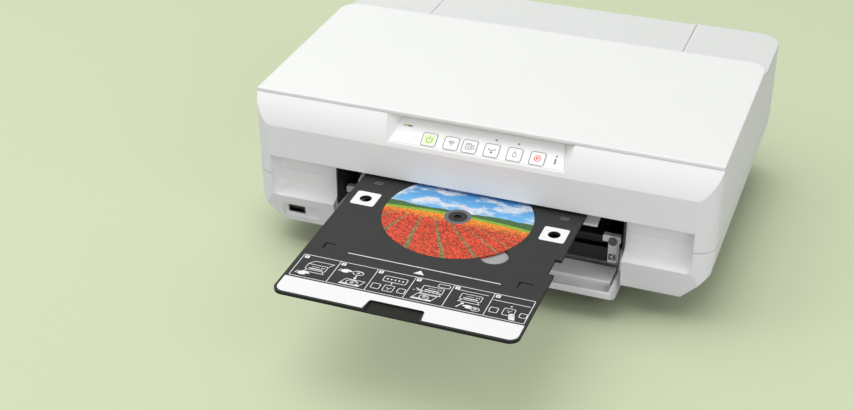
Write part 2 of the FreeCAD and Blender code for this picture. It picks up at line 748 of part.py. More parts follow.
def make_front_cover():
    back = cover_axis_y + cover_back_reach
    high = cover_bottom_z + cover_wall_height
    half = cover_half_width
    inner = [(back, cover_bottom_z + cover_skin), (cover_inner_y, cover_bottom_z + cover_skin),
             (cover_front_y + cover_lip_thickness, lip_low_z + 1.5), (cover_front_y + cover_lip_thickness, high)]
    skin = prism_x(cover_outline(back) + inner, -half, half)
    side_back = cover_axis_y + 8
    side = prism_x(cover_outline(side_back) + [(side_back, high)], half - wall, half)
    ear = fuse([cyl_x(cover_axis_y, cover_axis_z, 7.0, half - wall, half),
                prism_x([(cover_axis_y - 11, high), (cover_axis_y - 7, cover_axis_z),
                         (cover_axis_y + 7, cover_axis_z), (side_back, high)], half - wall, half)])
    pin = cyl_x(cover_axis_y, cover_axis_z, cover_pin_radius, half, mouth_half_width + wall + 2)
    body = fuse([skin] + both_sides(side) + both_sides(ear) + both_sides(pin))
    lip_edges = [e for e in body.Edges if abs(e.CenterOfMass.z - high) < 1e-6
                 and abs(e.CenterOfMass.y - cover_front_y) < 1e-6]
    return body.makeFillet(1.2, lip_edges)


def make_cover_liner():
    """Raised inner panel of the front cover, with an apron that runs up behind the lip."""
    back = cover_axis_y - 6.0
    low = cover_bottom_z + cover_skin
    block = box(-liner_half_width, liner_half_width, cover_inner_y, back, low, low + liner_height)
    edges = [e for e in block.Edges if abs(e.CenterOfMass.z - low - liner_height) < 1e-6]
    block = block.makeFillet(1.2, edges)
    hollow = box(-liner_half_width + 2, liner_half_width - 2, cover_inner_y + 2, back - 2, low - 1,
                 low + liner_height - 2)
    lip_y = cover_front_y + cover_lip_thickness
    apron = prism_x([(lip_y, lip_low_z + 1.5), (cover_inner_y, low), (cover_inner_y, low + 2),
                     (lip_y, lip_low_z + 3.5)], -liner_half_width, liner_half_width)
    ribs = [box(x - 1, x + 1, cover_inner_y + 1, back - 1, low, low + liner_height - 1) for x in (-52.0, 0.0, 52.0)]
    return fuse([block.cut(hollow), apron] + ribs)


def make_mouth_trim():
    """Dark side plates inside the mouth, each with a slot for the entry guide's web."""
    back = frame_front_y - 3.4
    plate = box(mouth_half_width - trim_thickness, mouth_half_width, body_front_y + 8.6, back, trim_low_z,
                mouth_top_z)
    slot = box(mouth_half_width - 5, mouth_half_width + 1, guide_web_front_y - slip, guide_web_back_y + slip,
               guide_web_low_z - slip, tray_bottom_z)
    return Part.makeCompound(both_sides(plate.cut(slot)))


def make_tray_guides():
    """Entry guides under the tray's two edges: a ramp at the mouth, a level track and a web to the cheek."""
    guides = []
    for side in (-1, 1):
        x0 = tray_center_x + side * 90.6
        x1 = tray_center_x + side * 102.2
        lo, hi = min(x0, x1), max(x0, x1)
        top = tray_bottom_z - 0.4
        ramp_front = body_front_y + 8.0
        ramp_back = body_front_y + 25.0
        track_back = frame_front_y - 0.6
        ramp = prism_x([(ramp_front, top - 9.0), (ramp_back, top - 3.8), (track_back, top - 2.5), (track_back, top),
                        (ramp_back + 4, top), (ramp_back, top - 1.2), (ramp_front, top - 7.0)], lo, hi)
        web_lo, web_hi = sorted((side * (mouth_half_width), x1))
        web = box(web_lo, web_hi, guide_web_front_y, guide_web_back_y, guide_web_low_z, top)
        guides.append(fuse([ramp, web]))
    return Part.makeCompound(guides)


# ---------------------------------------------------------------- frame and drive pieces
def make_main_frame():
    x = frame_half_width
    floor = block_bottom_z + wall
    plate = box(x, x + frame_sheet, frame_front_y, frame_back_y, floor, frame_top_z)
    shaft_hole = [cyl_x(feed_axis_y, roller_z, roller_shaft_radius + fit, -x - 5, x + 5),
                  cyl_x(exit_axis_y, roller_z, roller_shaft_radius + fit, -x - 5, x + 5),
                  cyl_x(pinion_y, pinion_z, 4.0, -x - 5, -x + 1)]
    lightening = [box(x - 1, x + frame_sheet + 1, y, y + 24, floor + 8, floor + 26) for y in (-20.0, 14.0)]
    lightening += [mirrored(h) for h in lightening]
    back = box(-x - frame_sheet, x + frame_sheet, back_plate_y, back_plate_y + 1.5, mouth_top_z + slip, frame_top_z)
    flange = box(-x, x, back_plate_y - 6, back_plate_y + 1.5, frame_top_z - 1.5, frame_top_z)
    idler_pin = cyl_y(-pulley_x, pulley_z, 1.5, belt_y - 2.5, back_plate_y)
    motor_hole = cyl_y(pulley_x, pulley_z, 5.0, back_plate_y - 1, back_plate_y + 3)
    gear_pin = cyl_x(idler_axis_y, roller_z, roller_shaft_radius, gear_x - 3, -x)
    body = fuse(both_sides(plate) + [back, flange, idler_pin])
    body = body.cut(shaft_hole + lightening + [motor_hole])
    return fuse([body, gear_pin])


def make_front_rail():
    y = -20.0
    rail_top_z = carriage_top_z + 1.5
    web = box(-frame_half_width, frame_half_width, y, y + 1.5, tray_top_z + 9.8, rail_top_z)
    flange = box(-frame_half_width, frame_half_width, y, y + 8, rail_top_z - 1.5, rail_top_z)
    return fuse([web, flange])


def belt_loop(radius, y0, y1):
    low = pulley_z - radius
    middle = box(-pulley_x, pulley_x, y0, y1, low, low + 2 * radius)
    ends = [cyl_y(-pulley_x, pulley_z, radius, y0, y1), cyl_y(pulley_x, pulley_z, radius, y0, y1)]
    return fuse([middle] + ends)


def make_belt():
    inner = pulley_radius + slip / 3
    return belt_loop(inner + belt_thickness, belt_y, belt_y + belt_width).cut(
        belt_loop(inner, belt_y - 1, belt_y + belt_width + 1))


def make_drive_pulley():
    wheel = cyl_y(pulley_x, pulley_z, pulley_radius, belt_y - 0.5, belt_y + belt_width + 0.5)
    rims = [cyl_y(pulley_x, pulley_z, 7.0, belt_y - 1.5, belt_y - 0.5),
            cyl_y(pulley_x, pulley_z, 7.0, belt_y + belt_width + 0.5, belt_y + belt_width + 1.5)]
    shaft = cyl_y(pulley_x, pulley_z, 1.5, belt_y + belt_width, back_plate_y + 15)
    flat = box(pulley_x + 4.4, pulley_x + 8, belt_y - 0.4, belt_y + belt_width + 0.4, pulley_z - 1, pulley_z + 1)
    return fuse([wheel] + rims + [shaft]).cut(flat)


def make_idler_pulley():
    wheel = cyl_y(-pulley_x, pulley_z, pulley_radius, belt_y - 0.5, belt_y + belt_width + 0.5)
    rims = [cyl_y(-pulley_x, pulley_z, 7.0, belt_y - 1.5, belt_y - 0.5),
            cyl_y(-pulley_x, pulley_z, 7.0, belt_y + belt_width + 0.5, belt_y + belt_width + 1.5)]
    bore = cyl_y(-pulley_x, pulley_z, 1.5 + fit, belt_y - 3, belt_y + belt_width + 3)
    return fuse([wheel] + rims).cut(bore)


def make_carriage_motor():
    y0 = back_plate_y + 1.5
    y1 = lid_axis_y - lid_channel_front - wall - 5.8
    can = cyl_y(pulley_x, pulley_z, motor_radius, y0, y1)
    collar = cyl_y(pulley_x, pulley_z, 4.0, y1, y1 + 2)
    bore = cyl_y(pulley_x, pulley_z, 1.5 + fit, y0 - 1, y0 + 14)
    return fuse([can, collar]).cut(bore)


def make_carriage():
    cx = carriage_home_x
    w = carriage_half_width
    front, back = carriage_front_y, carriage_back_y
    tub = box(cx - w, cx + w, front, back, carriage_floor_z, carriage_top_z)
    bay_width = cartridge_pitch - 1.2
    bays = []
    for n in range(cartridge_count):
        x = cartridge_x(n)
        bays.append(box(x - bay_width / 2 - 0.1, x + bay_width / 2 + 0.1, front + 2, back - 2,
                        carriage_floor_z + 2, carriage_top_z + 1))
    nose = box(cx - head_half_width - 2, cx + head_half_width + 2, front, front + 40, head_bottom_z + 1.5,
               carriage_floor_z)
    boss = fuse([cyl_x(shaft_y, shaft_z, 6.5, cx - w, cx + w),
                 box(cx - w, cx + w, back - 1, shaft_y, shaft_z - 6, shaft_z + 6)])
    clip = box(cx - 8, cx + 8, back - 1, belt_y + belt_width, shaft_z + shaft_radius,
               pulley_z - pulley_radius - slip / 3 - belt_thickness - slip)
    hook_z = carriage_top_z + 3.8
    hook = box(cx - w, cx + w, front - 8, front + 2, hook_z - 2, hook_z)
    hook_root = box(cx - w, cx + w, front, front + 2, carriage_top_z, hook_z)
    body = fuse([tub, nose, boss, clip, hook, hook_root]).cut(bays)
    return body.cut(cyl_x(shaft_y, shaft_z, shaft_radius + fit, cx - w - 1, cx + w + 1))


def cartridge_x(n):
    return carriage_home_x + (n - (cartridge_count - 1) / 2) * cartridge_pitch


def make_cartridge(n):
    x = cartridge_x(n)
    w = cartridge_width / 2
    front, back = carriage_front_y + 2.3, carriage_back_y - 2.3
    body = box(x - w, x + w, front, back, carriage_floor_z + 2, cartridge_top_z - 4)
    cap = box(x - w + 1, x + w - 1, front + 4, back - 8, cartridge_top_z - 4, cartridge_top_z)
    tab = prism_x([(back - 5, cartridge_top_z - 4), (back, cartridge_top_z - 4), (back + 1, cartridge_top_z + 1),
                   (back - 1, cartridge_top_z + 1)], x - w + 2, x + w - 2)
    return fuse([body, cap, tab])


def make_printhead():
    cx = carriage_home_x
    w = head_half_width
    plate = box(cx - w, cx + w, carriage_front_y + 2, carriage_front_y + 38, head_bottom_z, head_bottom_z + 1.5)
    slots = [box(cx + x - 0.4, cx + x + 0.4, carriage_front_y + 8, carriage_front_y + 32, head_bottom_z - 1,
                 head_bottom_z + 0.6) for x in (-10.0, -6.0, -2.0, 2.0, 6.0, 10.0)]
    return plate.cut(slots)


def make_platen():
    beam_low_z = tray_bottom_z - 22.8
    beam = box(-frame_half_width, frame_half_width, -7.5, 28.5, beam_low_z, beam_low_z + 6)
    bed = box(-105.0, 95.5, -7.5, 28.5, beam_low_z + 6, tray_bottom_z - 1.6)
    hollow = box(-102.0, 92.5, -5.0, 26.0, beam_low_z + 3, tray_bottom_z - 3.6)
    ribs = [box(x - 0.8, x + 0.8, -6.5, 27.5, tray_bottom_z - 1.6, tray_bottom_z - 0.4)
            for x in range(-96, 97, 24) if x < 90]
    return fuse([beam, bed]).cut(hollow).fuse(ribs).removeSplitter()


def make_roller(axis_y, left_end, rings):
    shaft = cyl_x(axis_y, roller_z, roller_shaft_radius, left_end, frame_half_width + frame_sheet + 4)
    if not rings:
        return fuse([shaft, cyl_x(axis_y, roller_z, roller_radius, -roller_half_length, roller_half_length)])
    sleeves = [cyl_x(axis_y, roller_z, roller_radius, x - 6, x + 6) for x in (-90, -54, -18, 18, 54, 90)]
    return fuse([shaft] + sleeves)


def make_feed_motor():
    x0, x1 = -frame_half_width, -frame_half_width + 36
    can = cyl_x(pinion_y, pinion_z, 14.0, x0, x1)
    bore = cyl_x(pinion_y, pinion_z, 1.5 + fit, x0 - 1, x0 + 12)
    return can.cut(bore)


def make_pinion(phase_deg):
    wheel = gear(pinion_teeth, pinion_y, pinion_z, 0, phase_deg, gear_x)
    shaft = cyl_x(pinion_y, pinion_z, 1.5, gear_x + gear_width - 0.5, -frame_half_width + 10)
    return fuse([wheel, shaft])


def make_pinch_holder():
    bar = box(-104.0, 104.0, feed_axis_y + 5, back_plate_y, tray_top_z + 2.8, tray_top_z + 6.4)
    arms = [box(x - 1.5, x + 1.5, feed_axis_y - 3, feed_axis_y + 5, tray_top_z + 1.0, tray_top_z + 6.4)
            for place in pinch_places for x in (place - 9, place + 9)]
    body = fuse([bar] + arms)
    return body.cut(cyl_x(feed_axis_y, pinch_z, 1.5 + fit, -110, 110))


def make_pinch_rollers():
    rod = cyl_x(feed_axis_y, pinch_z, 1.5, -101, 101)
    rolls = [cyl_x(feed_axis_y, pinch_z, pinch_radius, x - 6, x + 6) for x in pinch_places]
    return fuse([rod] + rolls)


def make_star_holder():
    bar = box(-frame_half_width, frame_half_width, frame_front_y, exit_axis_y - 6, tray_top_z + 3.6, tray_top_z + 8.8)
    arms = [box(x - 1, x + 1, exit_axis_y - 6, exit_axis_y + 3, tray_top_z + 2.0, tray_top_z + 7.2)
            for place in star_places for x in (place - 5, place + 5)]
    body = fuse([bar] + arms)
    return body.cut(cyl_x(exit_axis_y, star_z, 1.0 + fit, -110, 110))


def star(x):
    points = []
    for step in range(24):
        r = star_radius if step % 2 == 0 else star_radius - 1.0
        a = math.pi * step / 12
        points.append((exit_axis_y + r * math.cos(a), star_z + r * math.sin(a)))
    return prism_x(points, x - 0.5, x + 0.5)


def make_star_wheels():
    rod = cyl_x(exit_axis_y, star_z, 1.0, -99, 99)
    return fuse([rod] + [star(x + side) for x in star_places for side in (-2.0, 2.0)])


def make_cap_base():
    outer = box(cap_x0 - 1.0, cap_x1 + 14, -7.0, 28.0, cap_low_z, cap_low_z + 12)
    well = box(cap_x0 + 1.0, cap_x1 + 12, -5.0, 26.0, cap_low_z + 2, cap_low_z + 13)
    return outer.cut(well)


def make_cap_sled():
    sled = box(cap_x0 + 1.4, cap_x1 + 11.6, -4.6, 25.6, cap_low_z + 7, cap_low_z + 14)
    lip_outer = box(cap_x0 + 2, cap_x1 - 2, -4.6, 25.6, cap_low_z + 14, head_bottom_z - slip)
    lip_inner = box(cap_x0 + 4, cap_x1 - 4, -2.6, 23.6, cap_low_z + 16, head_bottom_z)
    blade = box(cap_x1 + 6, cap_x1 + 7.2, -2.0, 23.0, cap_low_z + 14, head_bottom_z - slip)
    return fuse([sled, lip_outer.cut(lip_inner), blade])


def make_waste_pad():
    x0, x1 = supply_x, supply_end_x
    y0, y1 = base_front_y + wall + 6, back_plate_y + 6
    z0 = base_z + wall
    outer = box(x0, x1, y0, y1, z0, z0 + 16.5)
    well = box(x0 + 2, x1 - 2, y0 + 2, y1 - 2, z0 + 2, z0 + 17.5)
    felt = box(x0 + 2, x1 - 2, y0 + 2, y1 - 2, z0 + 2, z0 + 13.5)
    return outer.cut(well).fuse(felt).removeSplitter()


def make_main_board():
    board = box(board_x, board_x + 1.6, 72.0, 184.0, board_low_z, board_high_z)
    chips = [box(board_x + 1.6, board_x + 4.6, 100.0, 120.0, board_high_z - 25, board_high_z - 5),
             box(board_x + 1.6, board_x + 3.6, 130.0, 142.0, board_high_z - 25, board_high_z - 17),
             box(board_x + 1.6, board_x + 8.6, 150.0, 180.0, board_low_z + 9, board_low_z + 16),
             cyl_x(90.0, board_high_z - 8, 4.0, board_x + 1.6, board_x + 12)]
    return fuse([board] + chips)


def make_power_supply():
    return rounded_block(supply_x, supply_end_x, back_plate_y + 30, base_front_y + base_depth - wall - 6,
                         base_z + wall, supply_top_z, 2.0, 2.0)


def make_inlet():
    across = inlet_half_width
    body = box(inlet_x - across, inlet_x + across, case_back_y - wall - 12, case_back_y, inlet_low_z, inlet_high_z)
    mid_z = (inlet_low_z + inlet_high_z) / 2
    places = (inlet_x - 4.0, inlet_x + 4.0)
    socket = fuse([cyl_y(x, mid_z, 4.6, case_back_y - 10, case_back_y + 1) for x in places]
                  + [box(places[0], places[1], case_back_y - 10, case_back_y + 1, mid_z - 4.6, mid_z + 4.6)])
    pins = [cyl_y(x, mid_z, 1.2, case_back_y - 11, case_back_y - 2) for x in places]
    return body.cut(socket).fuse(pins).removeSplitter()


def make_usb_port():
    shell = usb_block(0, 12.0).common(box(-half_width, half_width, body_front_y + 3.4, 0, 0, body_height))
    across = usb_half_width - 0.7
    up = usb_half_height - 0.7
    hollow = box(usb_x - across, usb_x + across, body_front_y, body_front_y + 11, usb_z - up, usb_z + up)
    tongue = box(usb_x - across + 1, usb_x + across - 1, body_front_y + 4.4, body_front_y + 11.5,
                 usb_z + 0.2, usb_z + 1.6)
    return shell.cut(hollow).fuse(tongue).removeSplitter()


def make_feet():
    foot_x = base_half_width - 20
    places = [(x, y) for x in (-foot_x, foot_x) for y in (base_front_y + 13, base_front_y + base_depth - 16)]
    return Part.makeCompound([Part.makeCone(7.0, 8.0, base_z, vec(x, y, 0), vec(0, 0, 1)) for x, y in places])


# ---------------------------------------------------------------- cassettes and trays
def make_a4_cassette():
    y0 = cassette_front_y
    z0 = cassette_bottom_z
    tub = open_box(-a4_half_width, a4_half_width, y0, y0 + a4_length, z0, z0 + a4_height, cassette_wall)
    grip = box(-30.0, 30.0, y0 - 1, y0 + cassette_wall + 1, z0 + 6.0, z0 + a4_height + 1)
    guides = [box(x, x + 1.5, y0 + 60, y0 + 150, z0 + cassette_wall, z0 + a4_height - 1.5) for x in (-105.0, 103.5)]
    return fuse([tub] + guides).cut(grip)


def open_box(x0, x1, y0, y1, z0, z1, thickness):
    t = thickness
    return box(x0, x1, y0, y1, z0, z1).cut(box(x0 + t, x1 - t, y0 + t, y1 - t, z0 + t, z1 + 1))


def cassette_arm(outer_x):
    """Right-hand side arm: a rounded head with a roller boss, on a leg that hooks over the cassette's corner."""
    y0 = cassette_front_y - 6.0
    y1 = cassette_front_y - 1.4
    top = output_bottom_z + 7.5
    head = box(a4_half_width - 4.3, outer_x, y0, y1, top - 6.0, top)
    leg = box(a4_half_width + 0.6, a4_half_width + 8, y0, y1, cassette_bottom_z + 3, top - 6.0)
    rib = box(a4_half_width + 8, a4_half_width + 9.2, y0 + 1.6, y1, cassette_bottom_z + 3, top - 6.0)
    root = box(a4_half_width, a4_half_width + 5, y1, cassette_front_y + 14, cassette_bottom_z + 3.8,
               cassette_bottom_z + 10.8)
    root_web = box(a4_half_width + 0.6, a4_half_width + 5, y0 + 1, y1 + 0.5, cassette_bottom_z + 3.8,
                   cassette_bottom_z + 10.8)
    boss = cyl_y(a4_half_width + 4.5, top - 4.4, 3.6, y0 - 1.5, y0)
    edges = [e for e in head.Edges if abs(e.CenterOfMass.z - top) < 1e-6
             and abs(e.CenterOfMass.y - (y0 + y1) / 2) < 1e-6]
    head = head.makeFillet(1.2, edges)
    return fuse([head, leg, rib, root, root_web, boss])


def make_cassette_arms():
    return Part.makeCompound([cassette_arm(arm_half_x), mirrored(cassette_arm(left_arm_x))])


def make_photo_cassette():
    y0 = cassette_front_y + 6.0
    tub = open_box(-photo_half_width, photo_half_width, y0, y0 + photo_length, photo_bottom_z,
                   photo_bottom_z + photo_height, cassette_wall)
    grip = box(-15.0, 15.0, y0 - 1, y0 + cassette_wall + 1, photo_bottom_z + 3, photo_bottom_z + photo_height + 1)
    guide = box(photo_paper_half_width, photo_paper_half_width + cassette_wall, y0 + 30, y0 + 120,
                photo_bottom_z + cassette_wall, photo_bottom_z + photo_height - 1)
    return fuse([tub.cut(grip)] + both_sides(guide))


def make_output_tray():
    y0 = cassette_front_y
    z0, z1 = output_bottom_z, output_bottom_z + output_thickness
    plate = box(-output_half_width, output_half_width, y0, y0 + output_length, z0, z1)
    front = [e for e in plate.Edges if abs(e.CenterOfMass.y - y0) < 1e-6 and abs(e.CenterOfMass.x) < 1e-6]
    plate = plate.makeFillet(1.0, front)
    ribs = [box(x - 1.5, x + 1.5, y0 + 6, y0 + output_length - 6, z1, z1 + 0.8) for x in (-80, -40, 0, 40, 80)]
    return fuse([plate] + ribs)


def make_disc_tray():
    cx = tray_center_x
    z0, z1 = tray_bottom_z, tray_top_z
    plate = rounded_block(cx - tray_half_width, cx + tray_half_width, tray_front_y, tray_back_y, z0, z1,
                          tray_corner_radius, 4.0)
    floor = z1 - disc_thickness - fit
    recess = cyl_z(cx, disc_y, disc_radius + disc_recess_gap, floor, z1 + 1)
    hub = cyl_z(cx, disc_y, disc_hole_radius - 0.1, floor, z1)
    hub_hole = cyl_z(cx, disc_y, 3.0, floor - 0.2, z1 + 1)
    finger = cyl_z(cx + 44.4, disc_y - 43.4, 11.3, z0 + 0.6, z1 + 1)
    notch = box(cx + tray_half_width - 5, cx + tray_half_width + 1, disc_y - 52.6, disc_y - 32.4, z0 - 1, z1 + 1)
    grip = box(cx - 20.7, cx + 20.7, tray_front_y - 1, tray_front_y + 12.8, z0 + 1.0, z1 + 1)
    sensors = [cyl_z(cx + x, disc_y + 0.5, 4.8, z0 - 1, z1 + 1) for x in (-78.4, 78.4)]
    slits = [
        box(cx - 81.6, cx - 80.4, disc_y - 78, disc_y - 70, z0 - 1, z1 + 1),
        box(cx - 81.6, cx - 73, disc_y - 70.6, disc_y - 69.4, z0 - 1, z1 + 1),
        box(cx + 73.0, cx + 74.2, disc_y - 79, disc_y - 70, z0 - 1, z1 + 1),
        box(cx + 73.0, cx + 84, disc_y - 70.6, disc_y - 69.4, z0 - 1, z1 + 1),
    ]
    body = plate.cut([recess, finger, notch, grip] + sensors + slits)
    return body.fuse(hub).cut(hub_hole).removeSplitter()


def make_disc():
    z0 = tray_top_z - disc_thickness
    disc = cyl_z(tray_center_x, disc_y, disc_radius, z0, tray_top_z)
    return disc.cut(cyl_z(tray_center_x, disc_y, disc_hole_radius, z0 - 1, tray_top_z + 1))


# ---------------------------------------------------------------- control panel pieces
def make_control_panel():
    plate = panel_film(-panel_plate, 0, 0)
    holes = [button_cap(x, button_gap, -3, 3) for x in button_x.values()]
    holes += [lamp(place, 0.05, -2, 2) for place in range(4)]
    return plate.cut(holes)


def lamp(place, gap, above0, above1):
    x, along = lamp_places[place]
    if place < 3:
        return panel_pin(x, along, dot_radius + gap, above0, above1)
    return panel_block(x - 0.7 - gap, x + 0.7 + gap, along - 2.4 - gap, along + 2.4 + gap, above0, above1)


def make_button(name):
    x = button_x[name]
    cap = button_cap(x, 0, button_proud - button_height, button_proud)
    stem = panel_pin(x, button_up_slope, 2.0, -4.9, button_proud - button_height)
    return fuse([cap, stem])


def make_panel_board():
    board = panel_block(-48.0, 70.0, 3.2, 22.0, -7.6, -6.0)
    switches = [panel_block(x - 3, x + 3, button_up_slope - 3, button_up_slope + 3, -7.6, -5.85)
                for x in button_x.values()]
    feet = [panel_block(x - 1.2, x + 1.2, 17.0, 20.0, -6.0, -panel_plate - 0.02) for x in (-44.0, 22.0, 41.0)]
    return fuse([board] + switches + feet)


def make_lamps():
    return Part.makeCompound([lamp(place, 0, -panel_plate, 0.05) for place in range(len(lamp_places))])


# ---------------------------------------------------------------- build
os.makedirs("parts", exist_ok=True)

save("lower_case", make_lower_case())
save("upper_case", make_upper_case())
save("lid", make_lid())
save("rear_feed_cover", make_feed_cover())
save("rear_feed_chute", make_feed_chute())
save("rear_unit", make_rear_unit())
save("front_cover", make_front_cover())
save("front_cover_liner", make_cover_liner())
save("tray_guides", make_tray_guides())
save("mouth_trim", make_mouth_trim())
save("feet", make_feet())
save("usb_port", make_usb_port())
save("power_inlet", make_inlet())
save("power_supply", make_power_supply())
save("main_board", make_main_board())
save("waste_ink_pad", make_waste_pad())

save("control_panel", make_control_panel())
save("panel_board", make_panel_board())
save("panel_lamps", make_lamps())
for button in button_x:
    save("button_" + button, make_button(button))

save("main_frame", make_main_frame())
save("guide_shaft", cyl_x(shaft_y, shaft_z, shaft_radius, -frame_half_width, frame_half_width))
save("front_rail", make_front_rail())
save("timing_belt", make_belt())
save("drive_pulley", make_drive_pulley())
save("idler_pulley", make_idler_pulley())
save("carriage_motor", make_carriage_motor())
save("carriage", make_carriage())
save("printhead", make_printhead())
for number in range(cartridge_count):
    save("ink_cartridge_" + str(number + 1), make_cartridge(number))
save("platen", make_platen())
save("feed_roller", make_roller(feed_axis_y, gear_x - 2, False))
save("exit_roller", make_roller(exit_axis_y, gear_x - 2, True))
# A tooth of the followed gear points at each neighbour's gap, so the train is in mesh at rest.
idler_phase = 180.0 / idler_teeth
exit_phase = 180.0 / exit_teeth if (idler_teeth // 2) % 2 == 0 else 0.0
save("feed_gear", gear(feed_teeth, feed_axis_y, roller_z, roller_shaft_radius, 180.0, gear_x))
save("idler_gear", gear(idler_teeth, idler_axis_y, roller_z, roller_shaft_radius + fit, idler_phase, gear_x))
save("exit_gear", gear(exit_teeth, exit_axis_y, roller_z, roller_shaft_radius, exit_phase, gear_x))
feed_pitch_deg = 360.0 / feed_teeth
pinion_lead = ((pinion_angle_deg - 180.0) % feed_pitch_deg) / feed_pitch_deg
pinion_phase = pinion_angle_deg + 180.0 + (pinion_lead + 0.5) * 360.0 / pinion_teeth
save("motor_pinion", make_pinion(pinion_phase))
save("feed_motor", make_feed_motor())
save("pinch_holder", make_pinch_holder())
save("pinch_rollers", make_pinch_rollers())
save("star_wheel_holder", make_star_holder())
save("star_wheels", make_star_wheels())
save("cap_base", make_cap_base())
save("cap_sled", make_cap_sled())

save("a4_cassette", make_a4_cassette())
save("cassette_arms", make_cassette_arms())
save("photo_cassette", make_photo_cassette())
save("output_tray", make_output_tray())
save("disc_tray", make_disc_tray())
save("disc", make_disc())
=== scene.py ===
# %% [markdown]
# # Dressing a disc label printer
# The printer arrives as a set of solids, one for each real piece, in metres. This file gives each one its
# finish, adds the printed marks on the disc tray and the control panel, and sets up a plain pale studio.
# Nothing here moves or resizes a solid: every added piece rides on the body that carries it.

# %% Load the solids
import json
import math

import bmesh
import bpy
from mathutils import Matrix, Vector


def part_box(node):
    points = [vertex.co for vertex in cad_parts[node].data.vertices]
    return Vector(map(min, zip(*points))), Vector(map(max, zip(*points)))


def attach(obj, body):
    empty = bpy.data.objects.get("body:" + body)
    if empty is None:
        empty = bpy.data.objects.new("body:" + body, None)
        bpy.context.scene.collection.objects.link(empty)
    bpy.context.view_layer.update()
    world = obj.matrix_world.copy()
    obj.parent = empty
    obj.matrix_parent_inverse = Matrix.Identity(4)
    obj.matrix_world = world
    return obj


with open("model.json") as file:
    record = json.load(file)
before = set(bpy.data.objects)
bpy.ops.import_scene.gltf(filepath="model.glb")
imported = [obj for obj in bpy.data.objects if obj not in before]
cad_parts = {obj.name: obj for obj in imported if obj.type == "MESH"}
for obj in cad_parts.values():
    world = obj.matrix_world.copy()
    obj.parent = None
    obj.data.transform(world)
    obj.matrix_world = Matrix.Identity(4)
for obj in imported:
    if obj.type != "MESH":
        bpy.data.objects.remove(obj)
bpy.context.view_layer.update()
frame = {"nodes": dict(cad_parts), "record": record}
nodes = frame["nodes"]
record = frame["record"]
MM = 0.001

# %% [markdown]
# ## Places taken from the solids
# The tray's prints are laid out from the disc's centre, so that one point ties all of them to the solid
# tray. The sizes below are in millimetres, and each is what a ruler would read on the real tray.

# %% Places
tray_low, tray_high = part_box("disc_tray")
disc_low, disc_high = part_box("disc")
disc_center = Vector(((disc_low.x + disc_high.x) / 2, (disc_low.y + disc_high.y) / 2, disc_high.z))
tray_top = tray_high.z
print("disc centre:", [round(c / MM, 1) for c in disc_center])


# %% [markdown]
# ## Shader groups
# Moulded plastic is never one flat colour: it has a fine spark-eroded texture, and its tone and gloss drift
# a little. That effect is wanted in nearly every material, so it is a node group with named inputs, built
# once.

# %% Node helpers
def new_group(name, inputs, outputs, family="ShaderNodeTree"):
    """A group with named inputs and outputs; an input may have a value to start from."""
    group = bpy.data.node_groups.new(name, family)
    for label, kind, *value in inputs:
        socket = group.interface.new_socket(label, in_out="INPUT", socket_type="NodeSocket" + kind)
        if value:
            socket.default_value = value[0]
    for label, kind in outputs:
        group.interface.new_socket(label, in_out="OUTPUT", socket_type="NodeSocket" + kind)
    return group, group.nodes.new("NodeGroupInput"), group.nodes.new("NodeGroupOutput")


def set_inputs(node, values):
    """Constant values on a node's own sockets."""
    for label, value in values.items():
        node.inputs[label].default_value = value


def feed(tree, value, socket):
    """Give a socket a plain number, a colour, or the output of another node."""
    if isinstance(value, (int, float)):
        socket.default_value = value
    elif isinstance(value, (tuple, list)):
        socket.default_value = (*value[:3], 1.0)
    else:
        tree.links.new(value, socket)


def math_node(tree, operation, a, b=None, c=None, clamp=False):
    node = tree.nodes.new("ShaderNodeMath")
    node.operation = operation
    node.use_clamp = clamp
    for value, socket in zip((a, b, c), node.inputs):
        if value is not None:
            feed(tree, value, socket)
    return node.outputs[0]


def mix_color(tree, factor, a, b):
    node = tree.nodes.new("ShaderNodeMix")
    node.data_type = "RGBA"
    factor_socket, color_a, color_b = 0, 6, 7
    feed(tree, factor, node.inputs[factor_socket])
    feed(tree, a, node.inputs[color_a])
    feed(tree, b, node.inputs[color_b])
    result_color = 2
    return node.outputs[result_color]


def noise(tree, vector, scale, detail=2.0, roughness=0.5):
    node = tree.nodes.new("ShaderNodeTexNoise")
    feed(tree, scale, node.inputs["Scale"])
    set_inputs(node, {"Detail": detail, "Roughness": roughness})
    tree.links.new(vector, node.inputs["Vector"])
    return node.outputs["Fac"]


def object_place(tree):
    return tree.nodes.new("ShaderNodeTexCoord").outputs["Object"]


def axes_of(tree, place):
    """The X, Y and Z outputs of a place."""
    split = tree.nodes.new("ShaderNodeSeparateXYZ")
    tree.links.new(place, split.inputs[0])
    return split.outputs


def mapped(tree, place, way, amount):
    """A place after a Scale or a Location."""
    node = tree.nodes.new("ShaderNodeMapping")
    node.inputs[way].default_value = amount
    tree.links.new(place, node.inputs["Vector"])
    return node.outputs["Vector"]


print("node helpers: group, inputs, math, colour mix, noise, place, axes, mapping")


# %% Moulded grain group
drift_scale = 14.0
noise_middle = 0.5


